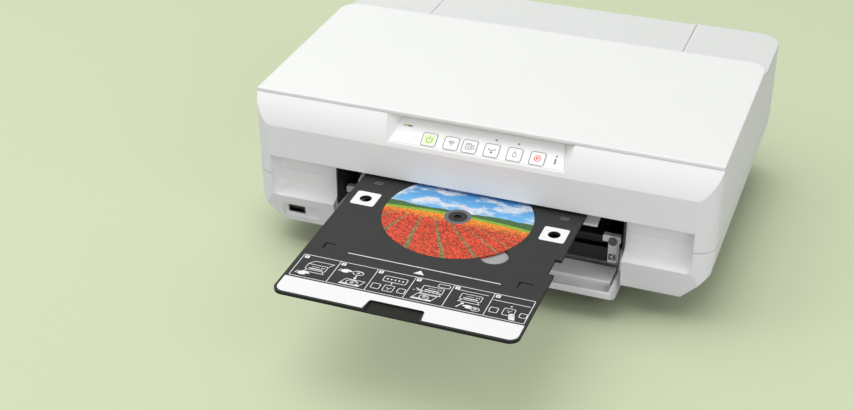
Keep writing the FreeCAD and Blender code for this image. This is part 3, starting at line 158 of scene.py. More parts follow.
def build_moulded_grain():
    group, inside, outside = new_group(
        "Moulded grain",
        [("Color", "Color", (0.8, 0.8, 0.8, 1)), ("Grain Size", "Float", 900.0),
         ("Tone Drift", "Float", 0.03), ("Roughness", "Float", 0.4), ("Gloss Drift", "Float", 0.08)],
        [("Color", "Color"), ("Roughness", "Float"), ("Height", "Float")])
    place = object_place(group)
    grain = noise(group, place, inside.outputs["Grain Size"], roughness=0.6)
    broad = noise(group, place, drift_scale, detail=3.0)
    drift = math_node(group, "SUBTRACT", broad, noise_middle)
    tone = math_node(group, "MULTIPLY_ADD", drift, inside.outputs["Tone Drift"], 1.0)
    scaled = group.nodes.new("ShaderNodeVectorMath")
    scaled.operation = "SCALE"
    group.links.new(inside.outputs["Color"], scaled.inputs[0])
    group.links.new(tone, scaled.inputs["Scale"])
    gloss = math_node(group, "MULTIPLY_ADD", drift, inside.outputs["Gloss Drift"],
                      inside.outputs["Roughness"])
    group.links.new(scaled.outputs[0], outside.inputs["Color"])
    group.links.new(gloss, outside.inputs["Roughness"])
    group.links.new(grain, outside.inputs["Height"])
    return group


moulded_grain = build_moulded_grain()
print("grain group's inputs:", [socket.name for socket in moulded_grain.interface.items_tree
                                if socket.in_out == "INPUT"])


# %% [markdown]
# ## Materials
# A Bevel node rounds the solids' crisp edges for the light only, by up to about a millimetre, as an
# injection mould leaves them. The grain goes through a Bump node on top of it. Colours are written as they
# look on a screen and are turned into linear light, which is what a shader works in.

# %% Colour and bump
bevel_rays = 6


def srgb(r, g, b):
    """A colour as a screen shows it, from 0 to 255, in linear light."""
    def linear(c):
        c = c / 255.0
        return c / 12.92 if c <= 0.04045 else ((c + 0.055) / 1.055) ** 2.4
    return (linear(r), linear(g), linear(b))


def new_material(name):
    material = bpy.data.materials.new(name)
    material.use_nodes = True
    tree = material.node_tree
    return material, tree, tree.nodes["Principled BSDF"]


def add_bump(tree, shader, height, strength, distance, edge=0.0):
    bump = tree.nodes.new("ShaderNodeBump")
    set_inputs(bump, {"Strength": strength, "Distance": distance})
    tree.links.new(height, bump.inputs["Height"])
    if edge > 0:
        bevel = tree.nodes.new("ShaderNodeBevel")
        bevel.samples = bevel_rays
        bevel.inputs["Radius"].default_value = edge
        tree.links.new(bevel.outputs["Normal"], bump.inputs["Normal"])
    tree.links.new(bump.outputs["Normal"], shader.inputs["Normal"])


print("middle grey in linear light:", round(srgb(128, 128, 128)[0], 3))


# %% Moulded plastic and turned metal
grain_height = 0.0002
line_height = 0.0001
metal_edge = 0.0004


def moulded(name, color, roughness, grain, depth, drift, edge, shine=0.5):
    material, tree, shader = new_material(name)
    shader.inputs["Specular IOR Level"].default_value = shine
    group = tree.nodes.new("ShaderNodeGroup")
    group.node_tree = moulded_grain
    set_inputs(group, {"Color": (*color, 1), "Grain Size": grain, "Tone Drift": drift,
                       "Roughness": roughness})
    tree.links.new(group.outputs["Color"], shader.inputs["Base Color"])
    tree.links.new(group.outputs["Roughness"], shader.inputs["Roughness"])
    add_bump(tree, shader, group.outputs["Height"], depth, grain_height, edge)
    return material


def grain_color(tree):
    """The socket that takes the colour in a moulded plastic."""
    return next(node for node in tree.nodes if node.type == "GROUP").inputs["Color"]


def turned_metal(name, color, roughness, stretch):
    """Metal with fine lines along one way, made by stretching a noise."""
    line_scale, line_depth, line_gloss, dark_line = 700.0, 0.06, 0.18, 0.85
    material, tree, shader = new_material(name)
    stretched = mapped(tree, object_place(tree), "Scale", stretch)
    lines = noise(tree, stretched, line_scale, detail=3.0)
    tint = mix_color(tree, lines, [c * dark_line for c in color], color)
    tree.links.new(tint, shader.inputs["Base Color"])
    shader.inputs["Metallic"].default_value = 1.0
    rough = math_node(tree, "MULTIPLY_ADD", lines, line_gloss, roughness - line_gloss / 3)
    tree.links.new(rough, shader.inputs["Roughness"])
    add_bump(tree, shader, lines, line_depth, line_height, metal_edge)
    return material


print("heights of grain and metal lines:", grain_height / MM, line_height / MM, "mm")


# %% [markdown]
# ## The housing's white and the painted shade on its deck
# The lid and the front are satin white. The deck behind the lid, with the rear feed cover in it, is painted a
# step greyer: painted shade for a top that the light reaches less. The two shells meet in a fine shadow gap
# round the flanks and the back. Masks on the place do both, ahead of the same grain.

# %% Shell white
shell_white = srgb(244, 245, 245)
# painted shade: a greyer white for the deck behind the lid, where the light reaches less
deck_painted_shade = srgb(229, 230, 231)
seam_grey = srgb(140, 142, 143)
shell_drift, shell_edge = 0.02, 0.0009
deck_drop = 0.004
lid_gap = 0.0004
lid_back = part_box("lid")[1].y
deck_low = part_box("rear_feed_cover")[1].z - deck_drop
seam_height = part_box("lower_case")[1].z
seam_half = 0.0002
flank_start = 0.179
back_start = 0.190


def seam_mask(tree, axes):
    """One close to the joint of the two shells, on the flanks and the back."""
    away = math_node(tree, "ABSOLUTE", math_node(tree, "SUBTRACT", axes["Z"], seam_height))
    on_seam = math_node(tree, "LESS_THAN", away, seam_half)
    flank = math_node(tree, "GREATER_THAN", math_node(tree, "ABSOLUTE", axes["X"]), flank_start)
    back = math_node(tree, "GREATER_THAN", axes["Y"], back_start)
    return math_node(tree, "MULTIPLY", on_seam, math_node(tree, "MAXIMUM", flank, back))


def build_shell(name, color, deck_shade_color, roughness, grain, depth):
    material = moulded(name, color, roughness, grain, depth, shell_drift, shell_edge)
    tree = material.node_tree
    axes = axes_of(tree, object_place(tree))
    # painted shade: the top behind the lid is mixed to the greyer white
    behind = math_node(tree, "GREATER_THAN", axes["Y"], lid_back + lid_gap)
    on_shaded_deck = math_node(tree, "GREATER_THAN", axes["Z"], deck_low)
    white_and_deck_shade = mix_color(tree, math_node(tree, "MULTIPLY", behind, on_shaded_deck), color, deck_shade_color)
    tree.links.new(mix_color(tree, seam_mask(tree, axes), white_and_deck_shade, seam_grey), grain_color(tree))
    return material


print("seam height:", round(seam_height / MM, 1), "lid's back edge:", round(lid_back / MM, 1))

# %% [markdown]
# ## The disc tray's plastic
# The tray's top is dull charcoal. Its edges, its recesses and the walls of its holes are painted nearly black
# as shade. The height alone tells one from the other.

# %% Tray plastic
tray_charcoal = srgb(50, 50, 52)
tray_recess_painted_shade = srgb(24, 24, 25)
surface_skin = 0.00012


def build_tray_plastic():
    material = moulded("Charcoal tray plastic", tray_charcoal, 0.62, 2100.0, 0.22, 0.06, 0.0003, shine=0.25)
    tree = material.node_tree
    axes = axes_of(tree, object_place(tree))
    # painted shade: every face below the tray's top, its edges, recesses and hole walls, is near black
    on_top = math_node(tree, "GREATER_THAN", axes["Z"], tray_top - surface_skin)
    tree.links.new(mix_color(tree, on_top, tray_recess_painted_shade, tray_charcoal), grain_color(tree))
    return material


print("tray's top:", round(tray_top / MM, 2))

# %% [markdown]
# ## The socket in the left block
# Its shell is thin steel, folded round a well. Only the rim at its mouth catches light; the well is painted
# near black as shadow, and the same kind of mask, now along Y, tells the rim from the well.

# %% Socket shell
usb_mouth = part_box("usb_port")[0].y
rim_dark, rim_light = (0.05, 0.05, 0.055), (0.11, 0.11, 0.12)
well_painted_shadow = (0.008, 0.008, 0.009)


def build_socket_metal():
    """Bright at the folded rim; inside, the well is painted near black as shadow."""
    scratch_scale, scratch_depth, scratch_gloss, rim_roughness = 2200.0, 0.08, 0.2, 0.4
    material, tree, shader = new_material("Folded socket shell")
    axes = axes_of(tree, object_place(tree))
    # painted shadow: the well behind the rim is near black
    inside = math_node(tree, "GREATER_THAN", axes["Y"], usb_mouth + surface_skin)
    scratches = noise(tree, object_place(tree), scratch_scale, detail=3.0)
    rim = mix_color(tree, scratches, rim_dark, rim_light)
    tree.links.new(mix_color(tree, inside, rim, well_painted_shadow), shader.inputs["Base Color"])
    shader.inputs["Metallic"].default_value = 0.4
    rough = math_node(tree, "MULTIPLY_ADD", scratches, scratch_gloss, rim_roughness)
    tree.links.new(rough, shader.inputs["Roughness"])
    add_bump(tree, shader, scratches, scratch_depth, line_height)
    return material


print("socket's mouth:", round(usb_mouth / MM, 1))

# %% [markdown]
# ## One finish for each material slot
# The record names a slot for every solid. Each moulded finish gives, in this order, its colour, roughness,
# grain size, grain depth, drift of tone and edge rounding. A metal gives its colour, roughness and the
# stretch of its lines along X, Y and Z.

# %% Finishes of this printer
finish = {
    "case_white": build_shell("Satin white shell", shell_white, deck_painted_shade, 0.46, 1700.0, 0.05),
    "case_grey": build_shell("White lower shell", shell_white, shell_white, 0.40, 1500.0, 0.06),
    "dark_plastic": moulded("Black frame plastic", srgb(36, 36, 38), 0.55, 1200.0, 0.15, 0.10, 0.0004),
    "tray_plastic": build_tray_plastic(),
    "liner_plastic": moulded("Light grey liner", srgb(248, 249, 249), 0.5, 1500.0, 0.12, 0.03, 0.0008),
    "key_plastic": moulded("White key film", srgb(247, 248, 248), 0.30, 2200.0, 0.03, 0.01, 0.0002),
    "lamp_plastic": moulded("Smoked lamp lens", srgb(120, 122, 124), 0.20, 900.0, 0.02, 0.02, 0.0001),
    "guide_plastic": moulded("Light grey guide", srgb(240, 241, 241), 0.45, 1500.0, 0.10, 0.03, 0.0005),
    "rubber": moulded("Roller and foot rubber", srgb(34, 34, 34), 0.82, 2600.0, 0.35, 0.10, 0.0004),
    "belt_rubber": moulded("Belt rubber", srgb(28, 28, 29), 0.75, 3000.0, 0.3, 0.08, 0.0001),
    "gear_plastic": moulded("Natural acetal", srgb(228, 227, 216), 0.38, 900.0, 0.05, 0.03, 0.0002),
    "board": moulded("Solder mask", srgb(20, 92, 52), 0.35, 600.0, 0.08, 0.12, 0.0001),
    "felt": moulded("Ink felt", srgb(205, 205, 198), 0.95, 500.0, 0.9, 0.10, 0.0),
    "steel": turned_metal("Zinc plated sheet", (0.62, 0.63, 0.65), 0.38, (0.2, 1, 1)),
    "shaft_steel": turned_metal("Ground shaft", (0.78, 0.78, 0.79), 0.2, (4, 0.3, 0.3)),
    "motor_steel": turned_metal("Rolled motor can", (0.55, 0.56, 0.58), 0.36, (1, 0.3, 1)),
    "socket_metal": build_socket_metal(),
}
ink_colors = {
    "ink_1": srgb(30, 30, 32), "ink_2": srgb(0, 128, 190), "ink_3": srgb(120, 190, 220),
    "ink_4": srgb(200, 30, 100), "ink_5": srgb(235, 140, 180), "ink_6": srgb(245, 210, 30),
}
for slot_name, color in ink_colors.items():
    label = "Cartridge " + slot_name.split("_")[1]
    finish[slot_name] = moulded(label, color, 0.35, 900.0, 0.04, 0.03, 0.0004)
print("finishes:", len(finish))

# %% [markdown]
# ## A printed disc
# The printable side shows an invented landscape: a sky with soft clouds, far hills, a strip of meadow and
# rows of poppies. It is painted with nodes from the disc's own X and Y, so it turns with the disc and needs
# no picture. It is laid down from the back to the front: each layer covers the last below its own edge.

# %% Disc sky
def step_above(tree, value, edge, softness=0.0006):
    """Rises from zero to one just above an edge, which is a number or another node's output."""
    ramp = tree.nodes.new("ShaderNodeMapRange")
    top = edge + softness if isinstance(edge, float) else math_node(tree, "ADD", edge, softness)
    feed(tree, value, ramp.inputs["Value"])
    feed(tree, edge, ramp.inputs["From Min"])
    feed(tree, top, ramp.inputs["From Max"])
    return ramp.outputs["Result"]


def gain_above(tree, value, edge, gain):
    """Rises from zero at an edge as fast as the gain says, and stays at one."""
    return math_node(tree, "MULTIPLY", math_node(tree, "SUBTRACT", value, edge), gain, clamp=True)


def sky_layer(tree, place, y):
    horizon, deepening = 0.004, 18.0
    cloud_scale, shade_scale, cloud_stretch = 58.0, 90.0, (1.0, 1.9, 1.0)
    cloud_start, cloud_full = 0.47, 0.60
    blue = mix_color(tree, gain_above(tree, y, horizon, deepening), srgb(112, 190, 240), srgb(4, 98, 188))
    stretched = mapped(tree, place, "Scale", cloud_stretch)
    puffs = noise(tree, stretched, cloud_scale, detail=7.0, roughness=0.62)
    cloud = step_above(tree, puffs, cloud_start, cloud_full - cloud_start)
    shade = noise(tree, stretched, shade_scale, detail=4.0)
    return mix_color(tree, cloud, blue, mix_color(tree, shade, srgb(176, 188, 210), srgb(255, 255, 255)))


print("a layer's soft edge:", step_above.__defaults__[0] / MM, "mm")


# %% Disc hills, meadow and poppies
def hill_layer(tree, place, y, behind):
    """Far hills stand on an uneven line."""
    bump_scale, wood_scale, bump_height, foot = 30.0, 500.0, 0.010, 0.002
    bumps = noise(tree, place, bump_scale, detail=4.0)
    hill_line = math_node(tree, "MULTIPLY_ADD", bumps, bump_height, foot)
    woods = noise(tree, place, wood_scale, detail=3.0)
    hills = mix_color(tree, woods, srgb(26, 70, 44), srgb(84, 130, 62))
    return mix_color(tree, step_above(tree, y, hill_line), hills, behind)


def poppy_rows(tree, place, x, y):
    """Rows fan out from a point above the horizon, with a furrow between each two."""
    petal_scale, petal_start, petal_gain = 620.0, 0.40, 5.0
    fan_x, fan_y, fan_rate = 0.030, 0.020, 16.0
    furrow_start, furrow_gain = 0.86, 9.0
    far_line, far_gain = 0.012, 110.0
    depth = math_node(tree, "SUBTRACT", fan_y, y)
    fan = math_node(tree, "DIVIDE", math_node(tree, "ADD", x, fan_x), depth)
    wave = math_node(tree, "SINE", math_node(tree, "MULTIPLY", fan, fan_rate))
    specks = noise(tree, place, petal_scale, detail=4.0, roughness=0.75)
    petals = gain_above(tree, specks, petal_start, petal_gain)
    near = mix_color(tree, petals, srgb(120, 30, 14), srgb(255, 84, 44))
    soil = mix_color(tree, petals, srgb(70, 78, 30), srgb(166, 150, 104))
    rows = mix_color(tree, gain_above(tree, wave, furrow_start, furrow_gain), near, soil)
    far = mix_color(tree, petals, srgb(222, 92, 20), srgb(255, 178, 36))
    return mix_color(tree, gain_above(tree, y, -far_line, far_gain), rows, far)


def field_layers(tree, place, x, y, behind):
    """Meadow and poppies meet the hills along a line that bends down at its ends."""
    bend, crest, meadow_depth, grass_scale = -1.1, 0.003, 0.0035, 260.0
    meadow_line = math_node(tree, "MULTIPLY_ADD", math_node(tree, "MULTIPLY", x, x), bend, crest)
    grass = noise(tree, place, grass_scale, detail=3.0)
    meadow = mix_color(tree, grass, srgb(86, 152, 36), srgb(176, 198, 58))
    field_line = math_node(tree, "ADD", meadow_line, -meadow_depth)
    with_meadow = mix_color(tree, step_above(tree, y, meadow_line), meadow, behind)
    return mix_color(tree, step_above(tree, y, field_line), poppy_rows(tree, place, x, y), with_meadow)


print("layers, from back to front: sky, hills, meadow, poppies")

# %% [markdown]
# ## The disc's hub
# Round the centre hole the print ends, and clear polycarbonate shows as two grey rings. Their edges depend
# on the distance from the disc's centre only.

# %% Printed disc
print_start, clear_start, ring_softness = 0.0108, 0.0076, 0.0002
clear_grey, hub_grey = srgb(104, 107, 112), srgb(58, 59, 60)


def center_distance(tree, axes):
    flat = tree.nodes.new("ShaderNodeCombineXYZ")
    tree.links.new(axes["X"], flat.inputs["X"])
    tree.links.new(axes["Y"], flat.inputs["Y"])
    length = tree.nodes.new("ShaderNodeVectorMath")
    length.operation = "LENGTH"
    tree.links.new(flat.outputs[0], length.inputs[0])
    return length.outputs["Value"]


def build_disc_print():
    material, tree, shader = new_material("Printed disc")
    place = mapped(tree, object_place(tree), "Location", (-disc_center.x, -disc_center.y, 0))
    axes = axes_of(tree, place)
    x, y = axes["X"], axes["Y"]
    color = hill_layer(tree, place, y, sky_layer(tree, place, y))
    color = field_layers(tree, place, x, y, color)
    radius = center_distance(tree, axes)
    color = mix_color(tree, step_above(tree, radius, print_start, ring_softness), clear_grey, color)
    color = mix_color(tree, step_above(tree, radius, clear_start, ring_softness), hub_grey, color)
    tree.links.new(color, shader.inputs["Base Color"])
    set_inputs(shader, {"Roughness": 0.38, "Specular IOR Level": 0.35,
                        "Coat Weight": 0.06, "Coat Roughness": 0.12})
    return material


finish["disc_polycarbonate"] = build_disc_print()
print("disc print's nodes:", len(finish["disc_polycarbonate"].node_tree.nodes))

# %% [markdown]
# ## From slots to solids
# Every solid says in the record which slot it belongs to, so one loop dresses them all.

# %% Put the finishes on the solids
slot_of = {part["node"]: part["material_slot"] for part in record["subparts"]}
for node_name, node in nodes.items():
    node.data.materials.clear()
    node.data.materials.append(finish[slot_of[node_name]])
print("solids dressed:", len(nodes))


# %% [markdown]
# ## Printed marks
# Screen printing is a film of ink a few hundredths of a millimetre thick. Each mark is a flat outline,
# filled and given that thickness, so it stays crisp however near the camera comes. Lines are ribbons: the
# path is offset to both sides, with mitred corners.

# %% Flat shapes
INK = 0.05


def bar(x0, y0, x1, y1):
    return [(x0, y0), (x1, y0), (x1, y1), (x0, y1)]


def ellipse(cx, cy, rx, ry=None, count=32, start=0.0, sweep=360.0):
    """The points of an ellipse, or of an arc where the sweep is under a whole turn."""
    ry = rx if ry is None else ry
    steps = count if sweep >= 360 else count + 1
    angles = [math.radians(start + sweep * i / count) for i in range(steps)]
    return [(cx + rx * math.cos(a), cy + ry * math.sin(a)) for a in angles]


def rounded(x0, y0, x1, y1, radius, count=5):
    """A rectangle whose corners are arcs."""
    points = []
    for cx, cy, start in ((x1 - radius, y1 - radius, 0), (x0 + radius, y1 - radius, 90),
                          (x0 + radius, y0 + radius, 180), (x1 - radius, y0 + radius, 270)):
        for i in range(count + 1):
            a = math.radians(start + 90 * i / count)
            points.append((cx + radius * math.cos(a), cy + radius * math.sin(a)))
    return points


def ribbon(points, width, closed=False):
    """Quads along a path, with mitred corners."""
    sharpest = 0.4
    count = len(points)
    sides = []
    for i, (x, y) in enumerate(points):
        before = points[i - 1] if i > 0 or closed else None
        after = points[(i + 1) % count] if i < count - 1 or closed else None
        ways = []
        if before is not None:
            ways.append(Vector((x - before[0], y - before[1])).normalized())
        if after is not None:
            ways.append(Vector((after[0] - x, after[1] - y)).normalized())
        along = sum(ways, Vector((0, 0))).normalized()
        across = Vector((-along.y, along.x))
        stretch = 1 / max(sharpest, abs(across.dot(Vector((-ways[0].y, ways[0].x)))))
        offset = across * width / 2 * stretch
        sides.append(((x + offset.x, y + offset.y), (x - offset.x, y - offset.y)))
    pairs = zip(sides, sides[1:] + sides[:1]) if closed else zip(sides, sides[1:])
    return [[here[0], there[0], there[1], here[1]] for here, there in pairs]


print("ink film:", INK, "mm")


# %% Ink on a surface
def finished_mesh(name, mesh):
    data = bpy.data.meshes.new(name)
    mesh.to_mesh(data)
    mesh.free()
    return data


def into_scene(name, data):
    """A new object that holds a mesh, a curve, a lamp or a camera."""
    item = bpy.data.objects.new(name, data)
    bpy.context.scene.collection.objects.link(item)
    return item


def plain_mesh(source):
    """The mesh that a text or a modifier comes to; its source goes."""
    bpy.context.view_layer.update()
    evaluated = source.evaluated_get(bpy.context.evaluated_depsgraph_get())
    data = bpy.data.meshes.new_from_object(evaluated)
    bpy.data.objects.remove(source)
    return data


def lay_ink(name, shapes, to_world, material, body, low=0.0, high=INK):
    """shapes are outlines in millimetres; to_world turns (x, y, height) into a place."""
    mesh = bmesh.new()
    for outline in shapes:
        area = sum(a[0] * b[1] - b[0] * a[1] for a, b in zip(outline, outline[1:] + outline[:1]))
        ring = outline if area > 0 else outline[::-1]
        bottom = [mesh.verts.new(to_world(x, y, low)) for x, y in ring]
        top = [mesh.verts.new(to_world(x, y, high)) for x, y in ring]
        mesh.faces.new(top)
        mesh.faces.new(bottom[::-1])
        for i in range(len(ring)):
            j = (i + 1) % len(ring)
            mesh.faces.new((bottom[i], bottom[j], top[j], top[i]))
    data = finished_mesh(name, mesh)
    data.materials.append(material)
    piece = into_scene(name, data)
    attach(piece, body)


def on_tray(x, y, height):
    return (disc_center.x + x * MM, disc_center.y + y * MM, tray_top + height * MM)


ink_grain = 2600.0
white_ink = moulded("White screen ink", srgb(244, 245, 245), 0.5, ink_grain, 0.12, 0.02, 0.0)
grey_ink = moulded("Grey screen ink", srgb(88, 90, 92), 0.5, ink_grain, 0.12, 0.03, 0.0)
dark_ink = moulded("Charcoal screen ink", srgb(58, 58, 60), 0.55, ink_grain, 0.12, 0.04, 0.0)
red_ink = moulded("Red screen ink", srgb(226, 60, 48), 0.5, ink_grain, 0.10, 0.02, 0.0)
green_ink = moulded("Green screen ink", srgb(146, 208, 46), 0.5, ink_grain, 0.10, 0.02, 0.0)
print("inks:", [ink.name for ink in (white_ink, grey_ink, dark_ink, red_ink, green_ink)])

# %% [markdown]
# ## The white bar and the sensor squares
# The printer finds the tray's edges by reflected light, so its front strip and two squares near the disc
# are white. The bar follows the tray's rounded front corners and leaves the finger recess free.

# %% White bar and squares
bar_left, bar_right = -92.0, 92.6
bar_front, bar_back = -139.9, -120.8
bar_corner = 6.5
grip_half, grip_back = 21.2, -128.6
grip_slope, grip_corner = 1.5, 1.0
square_half, square_corner, square_hole = 10.1, 1.7, 4.9
square_x, square_y, square_steps = 78.4, 0.5, 64


def white_bar():
    """A part on each side of the finger recess, and a thin strip behind it."""
    inner = grip_half - grip_slope
    left = [(bar_left, bar_back), (bar_left, bar_front + bar_corner)]
    left += ellipse(bar_left + bar_corner, bar_front + bar_corner, bar_corner, count=6, start=180, sweep=90)
    left += [(-grip_half - grip_slope, bar_front), (-grip_half, grip_back - grip_corner), (-inner, grip_back)]
    right = [(inner, grip_back), (grip_half, grip_back - grip_corner), (grip_half + grip_slope, bar_front)]
    right += ellipse(bar_right - bar_corner, bar_front + bar_corner, bar_corner, count=6, start=270, sweep=90)
    right += [(bar_right, bar_back)]
    return [left + [(-inner, bar_back)], [(inner, bar_back)] + right, bar(-inner, grip_back, inner, bar_back)]


def sensor_square(cx):
    """A square with rounded corners and a round hole, as quads round the hole."""
    straight = square_half - square_corner
    inner, outer = [], []
    for i in range(square_steps):
        a = math.radians(360 * i / square_steps)
        long, short = sorted((abs(math.cos(a)), abs(math.sin(a))), reverse=True)
        reach = square_half / long
        if reach * short > straight:
            both = straight * (long + short)
            reach = both + math.sqrt(both * both - 2 * straight * straight + square_corner * square_corner)
        outer.append((cx + reach * math.cos(a), square_y + reach * math.sin(a)))
        inner.append((cx + square_hole * math.cos(a), square_y + square_hole * math.sin(a)))
    rim = list(zip(inner, outer))
    return [[*near, *far[::-1]] for near, far in zip(rim, rim[1:] + rim[:1])]


squares = sensor_square(-square_x) + sensor_square(square_x)
lay_ink("tray_white_bar", white_bar(), on_tray, white_ink, "disc_tray")
lay_ink("tray_sensor_squares", squares, on_tray, white_ink, "disc_tray")
print("white bar's parts:", len(white_bar()), "quads in the squares:", len(squares))

# %% [markdown]
# ## Loading instructions
# Six small line drawings tell the user how to load the tray. They are drawn here from scratch as plain
# symbols: a printer with its cover open, a disc and a tray, a key being pressed, and so on. Each symbol is
# a short function of the place of its middle, in millimetres, so that a panel is a list of symbols.

# %% Printer, disc and tray symbols
stroke = 0.55
fine_stroke = 0.4


def small_printer(x, y, open_cover=False):
    art = ribbon(rounded(x - 8, y - 3, x + 8, y + 4, 1.0, 3), stroke, True)
    art += ribbon([(x - 6, y - 3), (x - 8, y - 6), (x + 8, y - 6), (x + 6, y - 3)], stroke)
    art += [bar(x - 5.5, y - 1.6, x + 5.5, y - 0.6), bar(x - 4, y + 1.2, x + 2, y + 1.6)]
    art += [bar(x + 3.4, y + 0.9, x + 4.4, y + 1.9), bar(x + 5.2, y + 0.9, x + 6.2, y + 1.9)]
    if open_cover:
        art += ribbon([(x - 8, y + 4), (x - 4.5, y + 8.5), (x + 11, y + 8.5), (x + 8, y + 4)], stroke)
    return art


def small_disc(x, y, r=4.5):
    rim = ribbon(ellipse(x, y, r, r * 0.62, 24), stroke, True)
    hole = ribbon(ellipse(x, y, r * 0.25, r * 0.16, 12), stroke, True)
    gloss = ribbon(ellipse(x, y, r * 0.72, r * 0.44, 10, 20, 90), 0.35)
    return rim + hole + gloss


def small_tray(x, y):
    outline = ribbon([(x - 9, y - 3.5), (x + 6, y - 3.5), (x + 9, y + 3.5), (x - 6, y + 3.5)], stroke, True)
    return outline + [[(x - 8.6, y - 3.1), (x + 5.8, y - 3.1), (x + 6.3, y - 1.9), (x - 8.1, y - 1.9)]]


def tray_in_mouth(x, y):
    """The printer's front with the tray half in it, and a dashed line to follow."""
    art = small_printer(x + 2, y + 4) + small_tray(x - 1, y - 6.5) + small_disc(x - 1, y - 6.5, 3.6)
    return art + [bar(x - 12 + 3 * i, y + 0.2, x - 10.4 + 3 * i, y + 0.6) for i in range(8)]


print("shapes in the open printer:", len(small_printer(0, 0, True)))


# %% Arrow, hand and key symbols
def arrow(x, y, length, angle):
    half_shaft, half_head, head = 0.45, 1.5, 2.2
    a = math.radians(angle)

    def turn(u, v):
        return (x + u * math.cos(a) - v * math.sin(a), y + u * math.sin(a) + v * math.cos(a))
    neck = length - head
    return [[turn(0, -half_shaft), turn(neck, -half_shaft), turn(neck, half_shaft), turn(0, half_shaft)],
            [turn(neck, -half_head), turn(length, 0), turn(neck, half_head)]]


def hand(x, y, side, size):
    """A filled palm with one finger stretched out, and a line for the cuff."""
    palm = [(0, 0), (3.6, 1.3), (6.2, 1.5), (9.2, 0.2), (10.2, -2.4), (6.4, -3.9), (2.6, -2.9), (3.4, -1.5),
            (0.2, -1.2)]
    cuff = [(10.4, 0.9), (11.8, -2.8)]
    palm, cuff = [[(x + side * size * u, y + size * v) for u, v in part] for part in (palm, cuff)]
    return [palm] + ribbon(cuff, stroke)


def fingertip(x, y):
    tip = ellipse(x, y, 2.3, 2.3, 12, 0, 180)
    return [tip + [(x - 0.8, y - 5), (x + 3.8, y - 5)]]


def small_key(x, y, half=3.2):
    return ribbon(rounded(x - half, y - half, x + half, y + half, 0.9, 3), stroke, True)


def key_symbol(x, y):
    roll = ribbon([(x - 2, y + 1.2), (x - 1, y), (x + 1, y), (x + 2, y + 1.2)], fine_stroke)
    return roll + [ellipse(x, y - 1.4, 0.6, 0.6, 10)]


def callout(x0, y0, x1, y1):
    return ribbon(rounded(x0, y0, x1, y1, 1.2, 3), stroke, True)


print("shapes in an arrow:", len(arrow(0, 0, 6, 0)))

# %% [markdown]
# ## The six panels
# The strip behind the white bar is divided into six panels. Each panel is drawn round its own middle, whose
# X comes from the dividers, so that a drawing stays in its panel if a divider moves.

# %% Instruction panels
strip_front, strip_back = -118.8, -90.0
dividers = [-90.0, -60.0, -30.0, 0.0, 30.0, 61.0, 91.5]
strip_middle = (strip_front + strip_back) / 2 - 1.5
panel_middles = [(a + b) / 2 for a, b in zip(dividers, dividers[1:])]


def panel_open_cover(x, y):
    return small_printer(x + 1, y + 1, True) + hand(x - 1, y - 6.5, -1, 0.95)


def panel_place_disc(x, y):
    art = small_tray(x + 3, y - 7) + small_disc(x + 3, y - 7) + arrow(x + 3, y + 3, 6, -90)
    return art + small_disc(x + 3, y + 5.5, 4.2) + hand(x - 2, y + 6.5, -1, 0.9)


def panel_press_key(x, y):
    art = small_key(x - 9, y - 5) + small_key(x + 1, y - 5, 3.8) + small_key(x + 11, y - 5, 2.8)
    art += callout(x - 7, y + 3, x + 11, y + 10)
    art += [ellipse(x - 4 + 3 * i, y + 6.5, 0.8, 0.8, 10) for i in range(5)]
    return art + [bar(x + 0.6, y + 0.2, x + 1.4, y + 2.6)] + key_symbol(x + 1, y - 5)


def panel_push_tray(x, y):
    return tray_in_mouth(x, y) + arrow(x - 10, y + 3, 7, -30) + callout(x + 4, y + 9.4, x + 13, y + 13.4)


def panel_take_tray(x, y):
    art = small_printer(x + 1, y + 4) + arrow(x - 6, y - 9.5, 8, 60) + small_disc(x + 8, y - 8, 3.4)
    return art + hand(x - 2, y - 6, 1, 0.8) + [bar(x - 12, y + 11, x + 12, y + 11.5)]


def panel_confirm(x, y):
    art = small_key(x - 10, y - 4, 3.0) + small_key(x + 1, y - 3, 4.2) + small_key(x + 12, y - 4, 2.6)
    art += key_symbol(x + 1, y - 2) + fingertip(x + 4, y - 6.5) + [ellipse(x + 1, y + 4, 0.8, 0.8, 12)]
    return art + ribbon([(x - 14, y + 8), (x + 14, y + 8)], stroke)


def strip_lines():
    lines = ribbon(rounded(dividers[0], strip_front, dividers[-1], strip_back, 0.8, 3), stroke, True)
    for x in dividers[1:-1]:
        lines += ribbon([(x, strip_front), (x, strip_back)], stroke)
    return lines


panels = [panel_open_cover, panel_place_disc, panel_press_key, panel_push_tray, panel_take_tray,
          panel_confirm]
drawings = strip_lines()
for draw_panel, x in zip(panels, panel_middles):
    drawings += draw_panel(x, strip_middle)
lay_ink("tray_instructions", drawings, on_tray, white_ink, "disc_tray")
print("shapes in the six panels:", len(drawings))

# %% [markdown]
# ## Load line, tags and side marks
# A line with an arrow shows how far the tray goes in before the printer takes it. Each panel has a white
# tag for its step number, and two short grey strokes stand by each side of the disc.

# %% Load line, tags and side marks
tag_left, tag_right, tag_front, tag_back = 1.4, 5.0, 4.6, 1.0
number_tags = [rounded(x + tag_left, strip_back - tag_front, x + tag_right, strip_back - tag_back, 0.5, 2)
               for x in dividers[:-1]]
load_line = ribbon([(-60.0, -77.5), (61.0, -77.5)], 0.8)
load_arrow = [[(-4.2, -86.2), (4.2, -86.2), (0.0, -81.0)]]
mark_length, mark_width = 7.0, 1.0
mark_places = [(-81.0, 24.4), (-81.0, 27.0), (76.0, 24.0), (76.0, 26.6)]
side_marks = [bar(x, y, x + mark_length, y + mark_width) for x, y in mark_places]
mark_ink = moulded("Pale grey mark ink", srgb(112, 114, 116), 0.5, ink_grain, 0.12, 0.03, 0.0)
lay_ink("tray_number_tags", number_tags, on_tray, white_ink, "disc_tray")
lay_ink("tray_load_line", load_line + load_arrow, on_tray, white_ink, "disc_tray")
lay_ink("tray_side_marks", side_marks, on_tray, mark_ink, "disc_tray")
